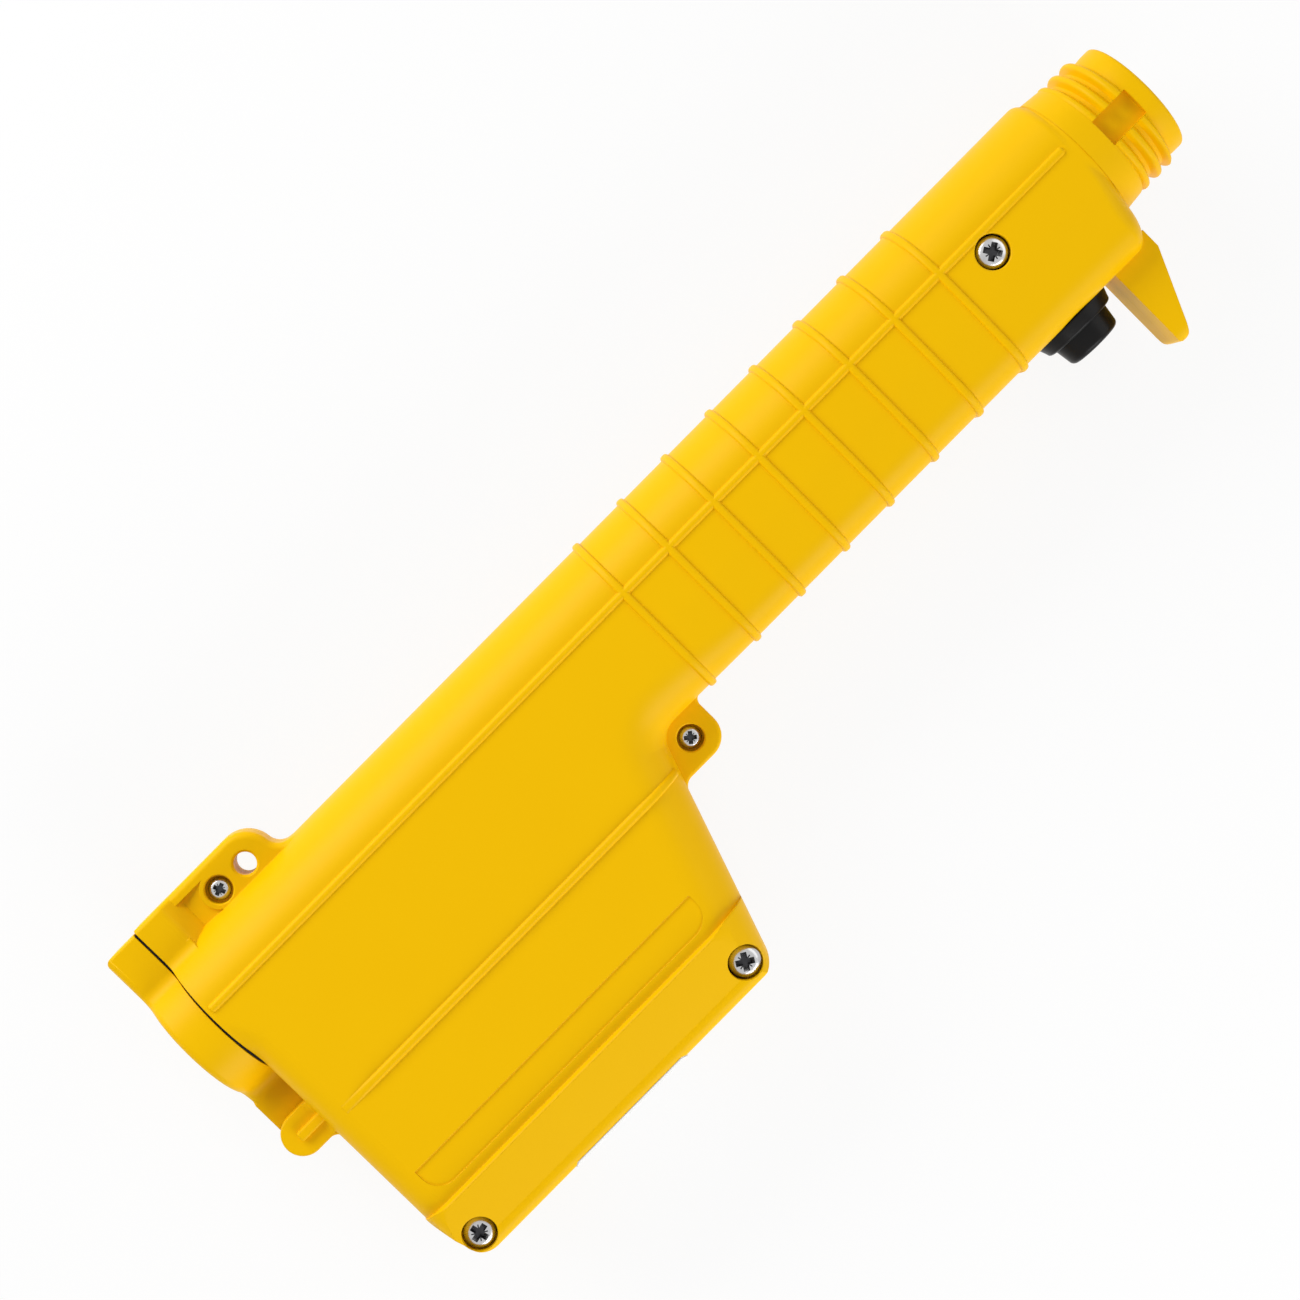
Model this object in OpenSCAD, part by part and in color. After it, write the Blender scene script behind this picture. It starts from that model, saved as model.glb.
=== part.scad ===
// Handle of a battery powered stock prod, lying on its left side.
// X runs along the nose axis and points out of the nose, Y points to the top of the handle,
// Z is the thickness, and Z = 0 is the parting plane of the two shells.
// The origin is the centre of the front face of the nose.

/* [Nose] */
// Radius of the plain tip, just above the root of the thread
tip_r = 15.7; // [14.5:0.1:16.5]
// Length of the plain tip ahead of the thread
tip_l = 3.7; // [2:0.1:8]
// Length of the threaded stretch
thread_l = 10.8; // [8:0.1:16]
// Height of the thread over its root
thread_h = 1.5; // [0.8:0.1:2]
// Pitch of the thread
thread_pitch = 4; // [3:0.1:5]
// Radius of the neck behind the thread
neck_r = 17.6; // [16.8:0.1:19]
// Length of the neck
neck_l = 7; // [4:0.1:12]
// Wall of the nose around its socket
nose_wall = 4.2; // [3.4:0.1:5]
// Depth of the socket for the shaft plug
socket_depth = 14; // [10:0.5:18]
// Width of the two key notches through the thread
notch_w = 7.5; // [5:0.1:10]

/* [Case] */
// Length of the grip ahead of the cells
front_l = 74.1; // [60:0.1:110]
// Height of the round top of the grip above the nose axis
grip_r = 19; // [18.2:0.1:21]
// Half the thickness over the flat sides
half_t = 17.5; // [17:0.1:18]
// Depth of the grip below the nose axis
grip_drop = 25.9; // [24.5:0.1:32]
// Radius of the lower edges of the grip
grip_edge_r = 8.5; // [6:0.1:9.5]
// Draw of the flat sides towards the lower edges
grip_taper = 0.9; // [0.3:0.1:1.5]
// Wall of the case
wall = 2.6; // [2:0.1:3]
// Radius of the front shoulder
shoulder_r = 2.5; // [1:0.1:4]

/* [Grip ribs] */
// Number of cross ribs around the grip
cross_ribs = 8; // [4:1:9]
// Distance from one cross rib to the next
cross_pitch = 14.85; // [10:0.05:16]
// Distance of the first cross rib behind the front shoulder
cross_start = 44; // [40:0.5:60]
// Width of a cross rib
cross_w = 1.6; // [1:0.1:3]
// Height of the ribs over the surface
rib_h = 0.8; // [0.4:0.1:1.2]
// Width of the long ribs
long_w = 2; // [1:0.1:3]
// Height of the upper long rib above the nose axis
upper_rib_y = 4.2; // [2:0.1:6]
// Depth of the lower long rib below the nose axis
lower_rib_y = 34.7; // [32:0.1:45]

/* [Box] */
// Depth of the box below the nose axis
box_drop = 83; // [80:0.5:100]
// Length of the box under the grip, from the door seam
box_l = 119.9; // [115:0.1:140]
// Lean of the front edge of the box, in degrees
front_lean = 19.2; // [10:0.1:22]
// Radius of the soft front edges of the box
front_roll = 12.5; // [8:0.5:14]
// Radius of the soft rear edges of the box
rear_roll = 7; // [4:0.5:9]
// Radius of the lower front corner
toe_r = 6; // [5.6:0.1:10]
// Radius of the lower rear corner
heel_r = 6; // [5.3:0.1:8]
// Height above the underside at which the rear edge starts to draw in
heel_h = 17; // [13:0.5:23]
// How far the rear edge draws in at the heel
heel_in = 2.5; // [0:0.1:4]
// Height of the lower band
band_h = 16.6; // [11:0.1:21]
// Rise of the band at its step
band_rise = 1.5; // [0.5:0.1:2]
// Half thickness of the band at the underside
band_edge_t = 15.5; // [14.5:0.1:17]
// Depth of the shallow strip panel
panel_depth = 0.4; // [0.2:0.1:0.8]
// Height of the strip panel
panel_h = 7.8; // [5:0.1:9]
// Thickness of the blank label
label_t = 0.25; // [0.15:0.05:0.4]
// Length of the blank label
label_l = 37; // [20:1:60]

/* [Guard] */
// Depth of the guard below the nose axis
guard_drop = 48.6; // [44:0.1:55]
// Distance of the inner face of the guard behind the shoulder
guard_back = 13.5; // [11.5:0.1:13.8]
// Half the thickness of the guard
guard_half_t = 9; // [6:0.1:12]

/* [Ears] */
// Height of the lanyard ear above the nose axis
ear_top = 29.6; // [28.5:0.1:33]
// Distance of the lanyard hole from the door seam
lanyard_l = 29.3; // [28:0.1:40]
// Radius of the lanyard hole
lanyard_r = 2.75; // [1.5:0.05:3]
// Half the thickness of the ear in its pocket
web_t = 3.6; // [3.3:0.1:4.2]
// Half the thickness of the ear
rim_t = 5.2; // [5:0.1:6]
// Reach of the screw ear below the grip
tab_drop = 12.7; // [11.5:0.1:16]
// Half the thickness of the screw ear
tab_t = 4.5; // [4.3:0.1:6]

/* [Door] */
// Thickness of the battery door
door_t = 9.9; // [9:0.1:12]
// Width of the seam that the gasket fills
seam = 0.5; // [0.4:0.05:0.8]
// Radius of the bulge of the door
bulge_r = 17; // [16.5:0.1:17.4]
// Half the thickness of the upper flange and of the latch block
flange_t = 8.2; // [7:0.1:9]
// Half the thickness of the lower flange and the knuckle
knuckle_t = 3.5; // [3:0.1:4.5]
// Radius of the hinge knuckle and lugs
knuckle_r = 5.3; // [4:0.1:5.6]
// Depth of the hinge pin below the nose axis
hinge_drop = 32.2; // [31.5:0.1:40]
// Distance of the hinge pin behind the door seam
hinge_back = 6.5; // [6.2:0.1:6.8]
// Radius of the hinge pin
pin_r = 1.5; // [1:0.1:2]

/* [Cells] */
// Radius of a cell
cell_r = 13.1; // [12:0.05:13.3]
// Length of a cell over its contacts
cell_l = 50; // [48:0.1:51]
// Length of the battery spring, pressed
spring_l = 9.6; // [8.5:0.1:12]

/* [Button] */
// Distance of the button behind the front shoulder
switch_back = 26.5; // [26.3:0.1:27]
// Radius of the collar
collar_r = 10.7; // [10.2:0.1:11.2]
// Height of the collar below the grip
collar_h = 3.5; // [3:0.1:5]
// Radius of the barrel through the case
barrel_r = 9.3; // [9.2:0.1:9.6]
// Radius of the button cap
cap_r = 8; // [7.6:0.1:8.3]
// How far the cap stands out of the collar
cap_out = 5.5; // [4:0.1:7]
// Travel of the button
button_travel = 2.5; // [1:0.1:2.8]

/* [Screws] */
// Radius of a large screw head
large_head_r = 4; // [3.4:0.1:4.1]
// Radius of a small screw head
small_head_r = 2.8; // [2.2:0.1:3]

/* [Hidden] */
CELL_NODES = ["cell_1", "cell_2", "cell_3", "cell_4"];
$fn = 72;

// Radial clearance of a running fit
fit = 0.05;
// Clearance of a piece that slips into its place
slip = 0.1;
// Clearance between pieces that pass each other
pass = 0.3;
// Overlap of joined solids and overshoot of cuts
lap = 1;

// Row of cells, which sets the length of the case
cell_count = len(CELL_NODES);
plate_t = 0.6;
contact_t = 0.8;
row_l = cell_count * (cell_l + slip);
case_l = front_l + contact_t + row_l + spring_l + plate_t - seam;

// Nose and front wall
nose_l = tip_l + thread_l + neck_l;
shoulder_x = -nose_l;
root_in = 0.2;
front_wall = 3;
rear_wall = 3.6;
socket_r = tip_r - nose_wall;
socket_ledge = 2;
spigot_r = socket_r + 1.2;
spigot_flange_r = spigot_r + 1.6;
spigot_flange_t = 2.4;
carrier_t = 3;
contact_r = 2;
contact_y = 5.5;
contact_out = 0.7;
seat_r = socket_r - 0.2;
socket_bore_l = socket_depth - carrier_t - contact_out - pass;
contact_in = 4;
notch_front = tip_l + 0.7;
notch_rear = tip_l + thread_l + 0.9;
notch_floor = tip_r - 2;

// Box outline
rear_x = shoulder_x - case_l;
band_drop = box_drop - band_h;
heel_drop = box_drop - heel_h;
box_front_x = rear_x + box_l;
toe = [front_x(-(box_drop - toe_r)) - toe_r / cos(front_lean), -(box_drop - toe_r)];
heel = [rear_x + heel_in + heel_r, -(box_drop - heel_r)];
band_top = half_t + band_rise;
band_corner_r = 3;
taper_y = 8;
chin_in = 2.4;
guard_step = 1.4;
crown_y = grip_r - half_t;
panel_margin = 2.4;
panel_side_h = 2.3;
panel_rear_in = 7;
panel_front_in = 9;
panel_low = band_drop - panel_margin;
panel_corner_r = panel_h - panel_side_h;
panel_rear_x = rear_x + panel_rear_in;
panel_front_x = front_x(-panel_low) - panel_front_in;
lower_rib_in = [7, 6.5];
label_half_t = 11;

// Ears
ear_arc_r = ear_top - lanyard_y();
ear_rim_w = 2.5;
ear_fillet_r = 4.5;
lanyard_x = rear_x + lanyard_l;
ear_screw_back = 8.7;
ear_screw = [lanyard_x - ear_screw_back, lanyard_y()];
ear_boss_r = 4.5;
tab_r = 6;
tab_root = 8;
tab_reach = 11.3;
tab_screw_in = 7.2;
tab_screw_drop = 5.9;
tab_front_x = box_front_x + tab_reach;
tab_screw = [tab_front_x - tab_screw_in, -(grip_drop + tab_screw_drop)];
block_l = 8.5;

// Hinge and latch
hinge_x = rear_x - hinge_back;
hinge_y = -hinge_drop;
lug_gap = 0.4;
lug_in = knuckle_t + lug_gap;
lug_out = lug_in + 4.6;
pin_half = lug_out - 1.2;
lug_rib_w = 2.5;
lug_rib_h = 1.5;
door_x = rear_x - seam;
door_top = ear_top - 0.6;
door_edge_r = 1.5;
door_fillet_r = 4.5;
tongue_y = 21;
tongue_h = 2.4;
tongue_t = 3.5;
tongue_l = 7;
tongue_rise = 2;
tongue_room = 1.2;
gasket_inset = 0.3;

// Battery
bore_r = cell_r + slip;
plate_r = 10.5;
spring_wire_r = 0.6;
spring_base_r = 8;
spring_tip_r = 4.6;
spring_turns = 3.25;
cell_rear_x = door_x + plate_t + spring_l;
cell_front_x = cell_rear_x + row_l;
nub_r = 3.3;
nub_h = 1.6;
contact_half = 10;
contact_drop = 15;
bulkhead_x = cell_front_x + contact_t;
bulkhead_t = 2;
cradle_t = 2;
cradle_low = 15.4;
duct_h = 8;
duct_half = 8;
strip_gap = 0.6;
strip_y = bore_r + strip_gap;
strip_t = 0.5;
strip_half = 3;
strip_foot_w = 4;
strip_foot_h = 4;
strip_foot_x = rear_x + box_l * 0.44;
gasket_hole_r = norm([strip_y + strip_t, strip_half]) + pass;

// Switch
switch_x = shoulder_x - switch_back;
pad_t = 4;
collar_taper = 0.75;
throat_r = 6.5;
ring_r = 7.6;
chamber_r = ring_r + 0.2;
cap_in = 1.8;
cap_room = 0.2;
throat_y = -(grip_drop + collar_h - cap_in - button_travel - cap_room);
throat_h = 5.6;
barrel_l = 11.9;
barrel_top_y = -(grip_drop - barrel_l);
ring_t = 1.5;
stem_top_y = throat_y + throat_h + pass + ring_t;
spring_pocket_r = 4;
spring_pocket_l = 8;
spring_seat_l = 2;
nut_r = 12.4;
nut_t = 3;
switch_body_t = 6;
terminal_h = 6;
terminal_spots = [[2, -3.5], [7, 3]];

// Circuit
board_in = 11.5;
board_rear_x = rear_x + board_in;
board_front_in = 28.4;
board_l = box_l - board_in - board_front_in;
board_gap = 0.6;
board_top_y = -(grip_drop + board_gap);
board_low = 12.5;
board_h = box_drop - grip_drop - board_gap - board_low;
board_t = 1.6;
board_z = -8;
post_r = 2.5;
post_inset = 3;
core_l = board_l * 0.3;
core_h = board_h * 0.68;
core_t = 16;
core_limb = core_l * 0.25;
core_window = core_l * 0.21;
core_yoke = core_h * 0.2;
coil_t = 22;
core_at = [board_l * 0.29, board_h * 0.5];
core_x = board_rear_x + core_at.x;
core_y = board_top_y - core_at.y;
core_z = board_z + coil_t / 2;
capacitor_r = board_h * 0.135;
capacitor_l = board_l * 0.275;
capacitor_at = [board_l * 0.54, board_h * 0.77];
transistor = [board_l * 0.125, board_h * 0.34, 4.5];
transistor_at = [board_l * 0.62, board_h * 0.55];
transistor_tab_h = board_h * 0.13;

// Screws
large_shank_r = 2.1;
large_head_h = 2.6;
small_shank_r = 1.4;
small_head_h = 2;
boss_r = 5;
boss_bottom = -12;
front_screw_back = 31.5;
front_screw = [shoulder_x - front_screw_back, -1];
case_sink = 0.2;
band_sink = 0.6;
ear_sink = 0.3;
small_floor = 0.8;
case_seat_z = half_t - case_sink - large_head_h;
band_seat_z = band_edge_t - band_sink - large_head_h;
ear_seat_z = rim_t - ear_sink - small_head_h;
tab_seat_z = tab_t - ear_sink - small_head_h;
heel_screw = heel - [1.6, 0.4];
LARGE_SCREWS = [[front_screw, case_seat_z], [heel_screw, band_seat_z], [toe, band_seat_z]];
SMALL_SCREWS = [[ear_screw, ear_seat_z, -web_t + small_floor], [tab_screw, tab_seat_z, -tab_t + small_floor]];

// Routes of the leads inside the case, from the board to the nose, the switch and the cells
lead_r = 0.9;
lead_sides = 8;
lead_in = 7;
lead_x = board_rear_x + board_l - lead_in;
lead_z = board_z + lead_r + slip;
duct_y = -(grip_drop - 5.9);
middle_x = (box_front_x + bulkhead_x) / 2;
bay_l = switch_x - bulkhead_x;
plug_x = -(socket_depth + contact_in);
tag_y = barrel_top_y + switch_body_t + terminal_h + slip + lead_r;
over_y = front_screw.y + boss_r + 2;
OUTPUT_ROUTES = [
    [[lead_x, board_top_y - 3.5, lead_z], [lead_x + 10, board_top_y - 2.5, lead_z],
     [box_front_x - 12, duct_y - 1, -7], [box_front_x - 2, duct_y, -7], [middle_x, duct_y, -7],
     [bulkhead_x - 4, duct_y, -6], [bulkhead_x + 6, duct_y + 1, -6], [switch_x - bay_l * 0.67, -8, -8],
     [switch_x - bay_l * 0.46, 6, -9], [switch_x - 7, 9, -9], [switch_x + 8, 8, -8], [shoulder_x - 8.5, 6, -3],
     [plug_x - 6, contact_y, 0], [plug_x, contact_y, 0]],
    [[lead_x, board_top_y - 9.5, lead_z], [lead_x + 10, board_top_y - 8.5, -4],
     [box_front_x - 14, duct_y - 7, 2], [box_front_x - 6, duct_y, 6], [box_front_x + 8, duct_y, 7],
     [middle_x, duct_y, 7], [bulkhead_x - 4, duct_y, 6], [bulkhead_x + 6, duct_y + 1, 6],
     [switch_x - bay_l * 0.67, -8, 8], [switch_x - bay_l * 0.46, 6, 9], [switch_x - 7, 9, 9], [switch_x + 8, 4, 9],
     [shoulder_x - 8.5, -5, 4], [plug_x - 6, -contact_y, 0], [plug_x, -contact_y, 0]]
];
SWITCH_ROUTES = [
    [[switch_x + terminal_spots[0][0], tag_y, terminal_spots[0][1]],
     [switch_x + terminal_spots[0][0], tag_y + 4, terminal_spots[0][1]],
     [front_screw.x + 3, over_y + 1, -4], [front_screw.x - 9, over_y, -4],
     [switch_x - bay_l * 0.57, -5, -3], [switch_x - bay_l * 0.76, -16, -2.5],
     [bulkhead_x + 4, duct_y + 1, -2.5], [bulkhead_x - 14, duct_y, -2.5], [middle_x, duct_y, -2.5],
     [box_front_x - 2, duct_y, -2.5], [box_front_x - 16, duct_y - 4, -3.5],
     [lead_x + 8, board_top_y - 13.5, lead_z], [lead_x, board_top_y - 15.5, lead_z]],
    [[switch_x + terminal_spots[1][0], tag_y, terminal_spots[1][1]],
     [switch_x + terminal_spots[1][0], tag_y + 4, terminal_spots[1][1]],
     [front_screw.x + 5, over_y + 1, 4], [front_screw.x - 9, over_y, 4],
     [switch_x - bay_l * 0.57, -5, 3], [switch_x - bay_l * 0.76, -16, 2.5],
     [bulkhead_x + 4, duct_y + 1, 2.5], [bulkhead_x - 14, duct_y, 2.5], [middle_x, duct_y, 2.5],
     [box_front_x - 2, duct_y, 2], [box_front_x - 16, duct_y - 8, -2],
     [lead_x + 8, board_top_y - 19.5, -6.5], [lead_x, board_top_y - 21.5, lead_z]]
];
BATTERY_ROUTE = [
    [bulkhead_x - lead_r - slip, -(contact_drop + slip), 0], [bulkhead_x - 1.3, duct_y + 2.5, 0],
    [bulkhead_x - 4, duct_y, 0], [bulkhead_x - 16, duct_y - 0.5, 0], [middle_x, duct_y - 0.5, 0],
    [box_front_x - 2, duct_y - 0.5, -0.3], [box_front_x - 17, duct_y - 13, -2.5],
    [lead_x + 7, board_top_y - 25.5, -6.5], [lead_x, board_top_y - 27.5, lead_z]
];

// Height of the lanyard hole, set so that the ear clears the top of the grip
function lanyard_y() = grip_r + 3.2;

// X of the front edge of the box at height y
function front_x(y) = box_front_x + (y + grip_drop) * tan(front_lean);

// Unit vector
function unit(v) = v / norm(v);

// Direction of a route at point i
function heading(p, i) = unit(p[min(i + 1, len(p) - 1)] - p[max(i - 1, 0)]);

// One ring of points around point i of a route, square to its direction
function ring(p, i, r, sides, side) =
    let (t = heading(p, i), n = unit(cross(t, side)), b = cross(t, n))
    [for (k = [0 : sides - 1]) p[i] + r * (cos(360 * k / sides) * n + sin(360 * k / sides) * b)];

// Points of a conical helix along X
function helix(x0, x1, r0, r1, turns, rings) =
    let (count = ceil(turns * rings))
    [for (i = [0 : count])
        let (f = i / count, a = 360 * turns * f, r = r0 + (r1 - r0) * f)
        [x0 + (x1 - x0) * f, r * cos(a), r * sin(a)]];

// Least distance between turns of a helix, less the wire
function least_gap(p, rings, wire_r) =
    min([for (i = [0 : len(p) - 1], j = [i + floor(rings * 0.75) : 1 : len(p) - 1]) norm(p[j] - p[i])]) - 2 * wire_r;

// Closed skin over rings of points that follow each other
module skin(points, sides) {
    end = len(points) - sides;
    walls = [for (i = [0 : sides : end - sides], k = [0 : sides - 1])
        let (a = i + k, b = i + (k + 1) % sides)
        each [[a, a + sides, b], [b, a + sides, b + sides]]];
    first = [for (k = [1 : sides - 2]) [0, k, k + 1]];
    last = [for (k = [1 : sides - 2]) [end, end + k + 1, end + k]];
    polyhedron(points, concat(walls, first, last));
}

// Closed tube along a list of points
module tube(p, r, sides, side) {
    skin([for (i = [0 : len(p) - 1]) each ring(p, i, r, sides, side)], sides);
}

// Extrusion of a side view along Z
module xy(z0, z1) {
    translate([0, 0, z0]) linear_extrude(z1 - z0) children();
}

// Extrusion of a cross section, drawn as Y and Z, along X
module yz(x0, x1) {
    translate([x0, 0, 0]) rotate([90, 0, 90]) linear_extrude(x1 - x0) children();
}

// Extrusion of a plan view, drawn as X and Z, along Y
module xz(y0, y1) {
    translate([0, y1, 0]) rotate([90, 0, 0]) linear_extrude(y1 - y0) children();
}

// Solid turned about the X axis, drawn as radius and distance behind the nose
module turned() {
    rotate([0, -90, 0]) rotate_extrude() children();
}

// Cylinder along Y about the switch axis
module switch_rod(y0, y1, r0, r1) {
    translate([switch_x, y0, 0]) rotate([-90, 0, 0]) cylinder(h = y1 - y0, r1 = r0, r2 = r1);
}

// Rectangle with its two corners at the right rounded
module rounded_end(x0, x1, y0, y1, r) {
    translate([x0, y0]) square([x1 - r - x0, y1 - y0]);
    translate([x0, y0 + r]) square([x1 - x0, y1 - y0 - 2 * r]);
    translate([x1 - r, y0 + r]) circle(r);
    translate([x1 - r, y1 - r]) circle(r);
}

// Cross section of the grip, drawn in by i
module grip_section(i = 0) {
    low = grip_drop - grip_edge_r;
    flat = half_t - i;
    edge = half_t - grip_taper - grip_edge_r;
    translate([crown_y, 0]) circle(flat);
    polygon([
        [crown_y, flat], [-taper_y, flat], [-low, flat - grip_taper],
        [-low, grip_taper - flat], [-taper_y, -flat], [crown_y, -flat]
    ]);
    translate([-(grip_drop - i), -edge]) square([grip_drop, 2 * edge]);
    for (s = [-1, 1])
        translate([-low, s * edge]) circle(grip_edge_r - i);
}

module grip_solid() {
    intersection() {
        yz(rear_x, shoulder_x) grip_section();
        xy(-grip_r, grip_r) difference() {
            rounded_end(rear_x - lap, shoulder_x, -grip_drop, grip_r, shoulder_r);
            polygon([[shoulder_x, -neck_r], [shoulder_x - chin_in, -grip_drop - lap], [0, -grip_drop - lap]]);
        }
        xz(-grip_drop - lap, grip_r + lap) rounded_end(rear_x - lap, shoulder_x, -half_t, half_t, shoulder_r);
    }
}

// Round end of the grip behind the neck
module grip_end() {
    turned() translate([0, nose_l]) square([half_t - fit, shoulder_r + lap]);
}

// Ribs around the grip and along its sides
module grip_ribs() {
    for (k = [0 : cross_ribs - 1])
        let (x = shoulder_x - cross_start - k * cross_pitch)
            yz(x - cross_w / 2, x + cross_w / 2) difference() {
                grip_section(-rib_h);
                grip_section(wall / 2);
            }
    for (s = [0, 1])
        mirror([0, 0, s]) {
            xy(half_t - wall / 2, half_t + rib_h) translate([rear_x + lap, upper_rib_y - long_w / 2])
                square([case_l - shoulder_r - 2 * lap, long_w]);
            xy(half_t - wall / 2, half_t + rib_h)
                translate([rear_x + lower_rib_in[0], -lower_rib_y - long_w / 2])
                    square([front_x(-lower_rib_y) - rear_x - lower_rib_in[0] - lower_rib_in[1], long_w]);
        }
}

module box_outline() {
    lean = [cos(front_lean), -sin(front_lean)];
    polygon([
        [rear_x, 0], [rear_x, -heel_drop], [rear_x + heel_in, heel.y], [heel.x, -box_drop],
        [toe.x, -box_drop], toe + toe_r * lean, [front_x(0), 0]
    ]);
    translate(toe) circle(toe_r);
    translate(heel) circle(heel_r);
}

// Cross section of the box with its raised lower band
module box_section() {
    for (s = [0, 1])
        mirror([0, s]) {
            polygon([
                [0, 0], [0, half_t], [-band_drop, half_t], [-band_drop - band_rise / 2, band_top],
                [-(box_drop - band_corner_r), band_edge_t], [-box_drop, band_edge_t - band_corner_r], [-box_drop, 0]
            ]);
            translate([-(box_drop - band_corner_r), band_edge_t - band_corner_r]) circle(band_corner_r);
        }
}

// Space within the soft front and rear edges of the box, for a half thickness t, drawn in by i
module rolled_space(t, y0, y1, i = 0) {
    intersection() {
        translate([front_x(-grip_drop), -grip_drop, 0]) rotate([0, 0, -front_lean])
            xz(-2 * box_drop, 2 * box_drop) rounded_end(-2 * box_l, pass - i, i - t, t - i, front_roll - i);
        xz(y0, y1) mirror([1, 0])
            rounded_end(-front_x(0) - lap, -rear_x - i, i - t, t - i, rear_roll - i);
    }
}

module box_solid() {
    intersection() {
        xy(-band_top - lap, band_top + lap) box_outline();
        yz(rear_x - lap, front_x(0) + lap) box_section();
        union() {
            rolled_space(half_t + fit, -band_drop, lap);
            rolled_space(band_top + fit, -box_drop - lap, -band_drop);
        }
    }
}

// Cut that carries the soft rear edges of the box up to the bulge of the door
module rear_roll_cut() {
    roll_z = half_t + fit - rear_roll;
    for (s = [0, 1])
        mirror([0, 0, s]) xz(-grip_drop - lap, -bore_r - pass) difference() {
            translate([rear_x - lap, roll_z]) square([rear_roll + lap, rear_roll + lap]);
            translate([rear_x + rear_roll, roll_z]) circle(rear_roll);
        }
}

// Guard ahead of the button
module guard_solid() {
    inner_x = shoulder_x - guard_back;
    point_r = 1.8;
    point = [inner_x + point_r, -(guard_drop - point_r)];
    base = [shoulder_x - guard_step, -grip_drop];
    lean = atan2(base.x - point.x - point_r, base.y - point.y);
    end_r = 4;
    intersection() {
        xy(-guard_half_t, guard_half_t) union() {
            polygon([
                [inner_x, -grip_drop + wall], [inner_x, point.y], point + [0, -point_r],
                point + point_r * [cos(lean), -sin(lean)], base, base + [0, wall]
            ]);
            translate(point) circle(point_r);
        }
        yz(inner_x - lap, shoulder_x) mirror([1, 0])
            rounded_end(0, guard_drop, -guard_half_t, guard_half_t, end_r);
    }
}

module ear_outline() {
    fillet = [lanyard_x + sqrt(pow(ear_arc_r + ear_fillet_r, 2) - pow(grip_r + ear_fillet_r - lanyard_y(), 2)),
        grip_r + ear_fillet_r];
    polygon([[rear_x, 0], [rear_x, ear_top], [lanyard_x, ear_top], [lanyard_x, 0]]);
    translate([lanyard_x, lanyard_y()]) circle(ear_arc_r);
    difference() {
        polygon([[lanyard_x, lanyard_y()], fillet, [fillet.x, grip_r - wall], [lanyard_x, grip_r - wall]]);
        translate(fillet) circle(ear_fillet_r);
    }
}

// Pocket in each face of the lanyard ear, between the latch block and the screw
module ear_pocket() {
    translate([rear_x + block_l, 0]) square([ear_screw.x - rear_x - block_l, ear_top - ear_rim_w]);
}

// Lanyard ear with its plate, screw boss and latch block
module ear_solid() {
    xy(-web_t, web_t) ear_outline();
    xy(-rim_t, rim_t) difference() {
        ear_outline();
        ear_pocket();
    }
    translate([ear_screw.x, ear_screw.y, -rim_t]) cylinder(h = 2 * rim_t, r = ear_boss_r);
    xy(-flange_t, flange_t) translate([rear_x, 0]) square([block_l, ear_top]);
}

// Screw ear under the grip, ahead of the box
module tab_solid() {
    low = -(grip_drop + tab_drop);
    xy(-tab_t, tab_t) union() {
        polygon([
            [box_front_x - tab_root, -grip_drop + wall], [tab_front_x, -grip_drop + wall],
            [tab_front_x, low + tab_r], [tab_front_x - tab_r, low], [box_front_x - tab_root, low]
        ]);
        translate([tab_front_x - tab_r, low + tab_r]) circle(tab_r);
    }
}

// Pair of lugs that hold the hinge pin
module hinge_lugs() {
    for (s = [0, 1])
        mirror([0, 0, s]) {
            translate([hinge_x, hinge_y, lug_in]) cylinder(h = lug_out - lug_in, r = knuckle_r);
            xy(lug_in, lug_out) translate([hinge_x, hinge_y - knuckle_r])
                square([hinge_back + rear_wall, 2 * knuckle_r]);
            xy(lug_out - lap, lug_out + lug_rib_h) translate([hinge_x - lap, hinge_y - lug_rib_w / 2])
                square([hinge_back + 2 * lap, lug_rib_w]);
        }
}

// Hollow of the grip and of the box
module case_hollow() {
    inner_t = half_t - wall;
    front_wall_x = wall / cos(front_lean);
    inner_rear_x = rear_x + rear_wall;
    heel_inner_x = rear_x + heel_in + rear_wall;
    low = -(box_drop - wall);
    yz(inner_rear_x, shoulder_x - front_wall) grip_section(wall);
    intersection() {
        xy(-inner_t, inner_t) polygon([
            [inner_rear_x, 0], [inner_rear_x, -band_drop], [front_x(-band_drop) - front_wall_x, -band_drop],
            [front_x(0) - front_wall_x, 0]
        ]);
        rolled_space(half_t + fit, -band_drop - lap, lap, wall);
    }
    xy(-(band_edge_t - wall), band_edge_t - wall) polygon([
        [heel_inner_x, -band_drop + lap], [heel_inner_x, low], [toe.x, low],
        [front_x(toe.y) - front_wall_x - lap, toe.y], [front_x(-band_drop) - front_wall_x - lap, -band_drop + lap]
    ]);
}

// Plates that cradle the cells, and the bulkhead ahead of them
module cradles() {
    for (k = [0 : cell_count - 1])
        let (x = cell_rear_x + (k + 0.5) * cell_l)
            yz(x - cradle_t / 2, x + cradle_t / 2) difference() {
                grip_section(wall / 2);
                circle(bore_r);
                translate([-2 * grip_drop, -grip_r]) square([2 * grip_drop - cradle_low, 2 * grip_r]);
            }
    yz(bulkhead_x, bulkhead_x + bulkhead_t) difference() {
        grip_section(wall / 2);
        translate([-(grip_drop - wall), -duct_half]) square([duct_h, 2 * duct_half]);
    }
}

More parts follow.
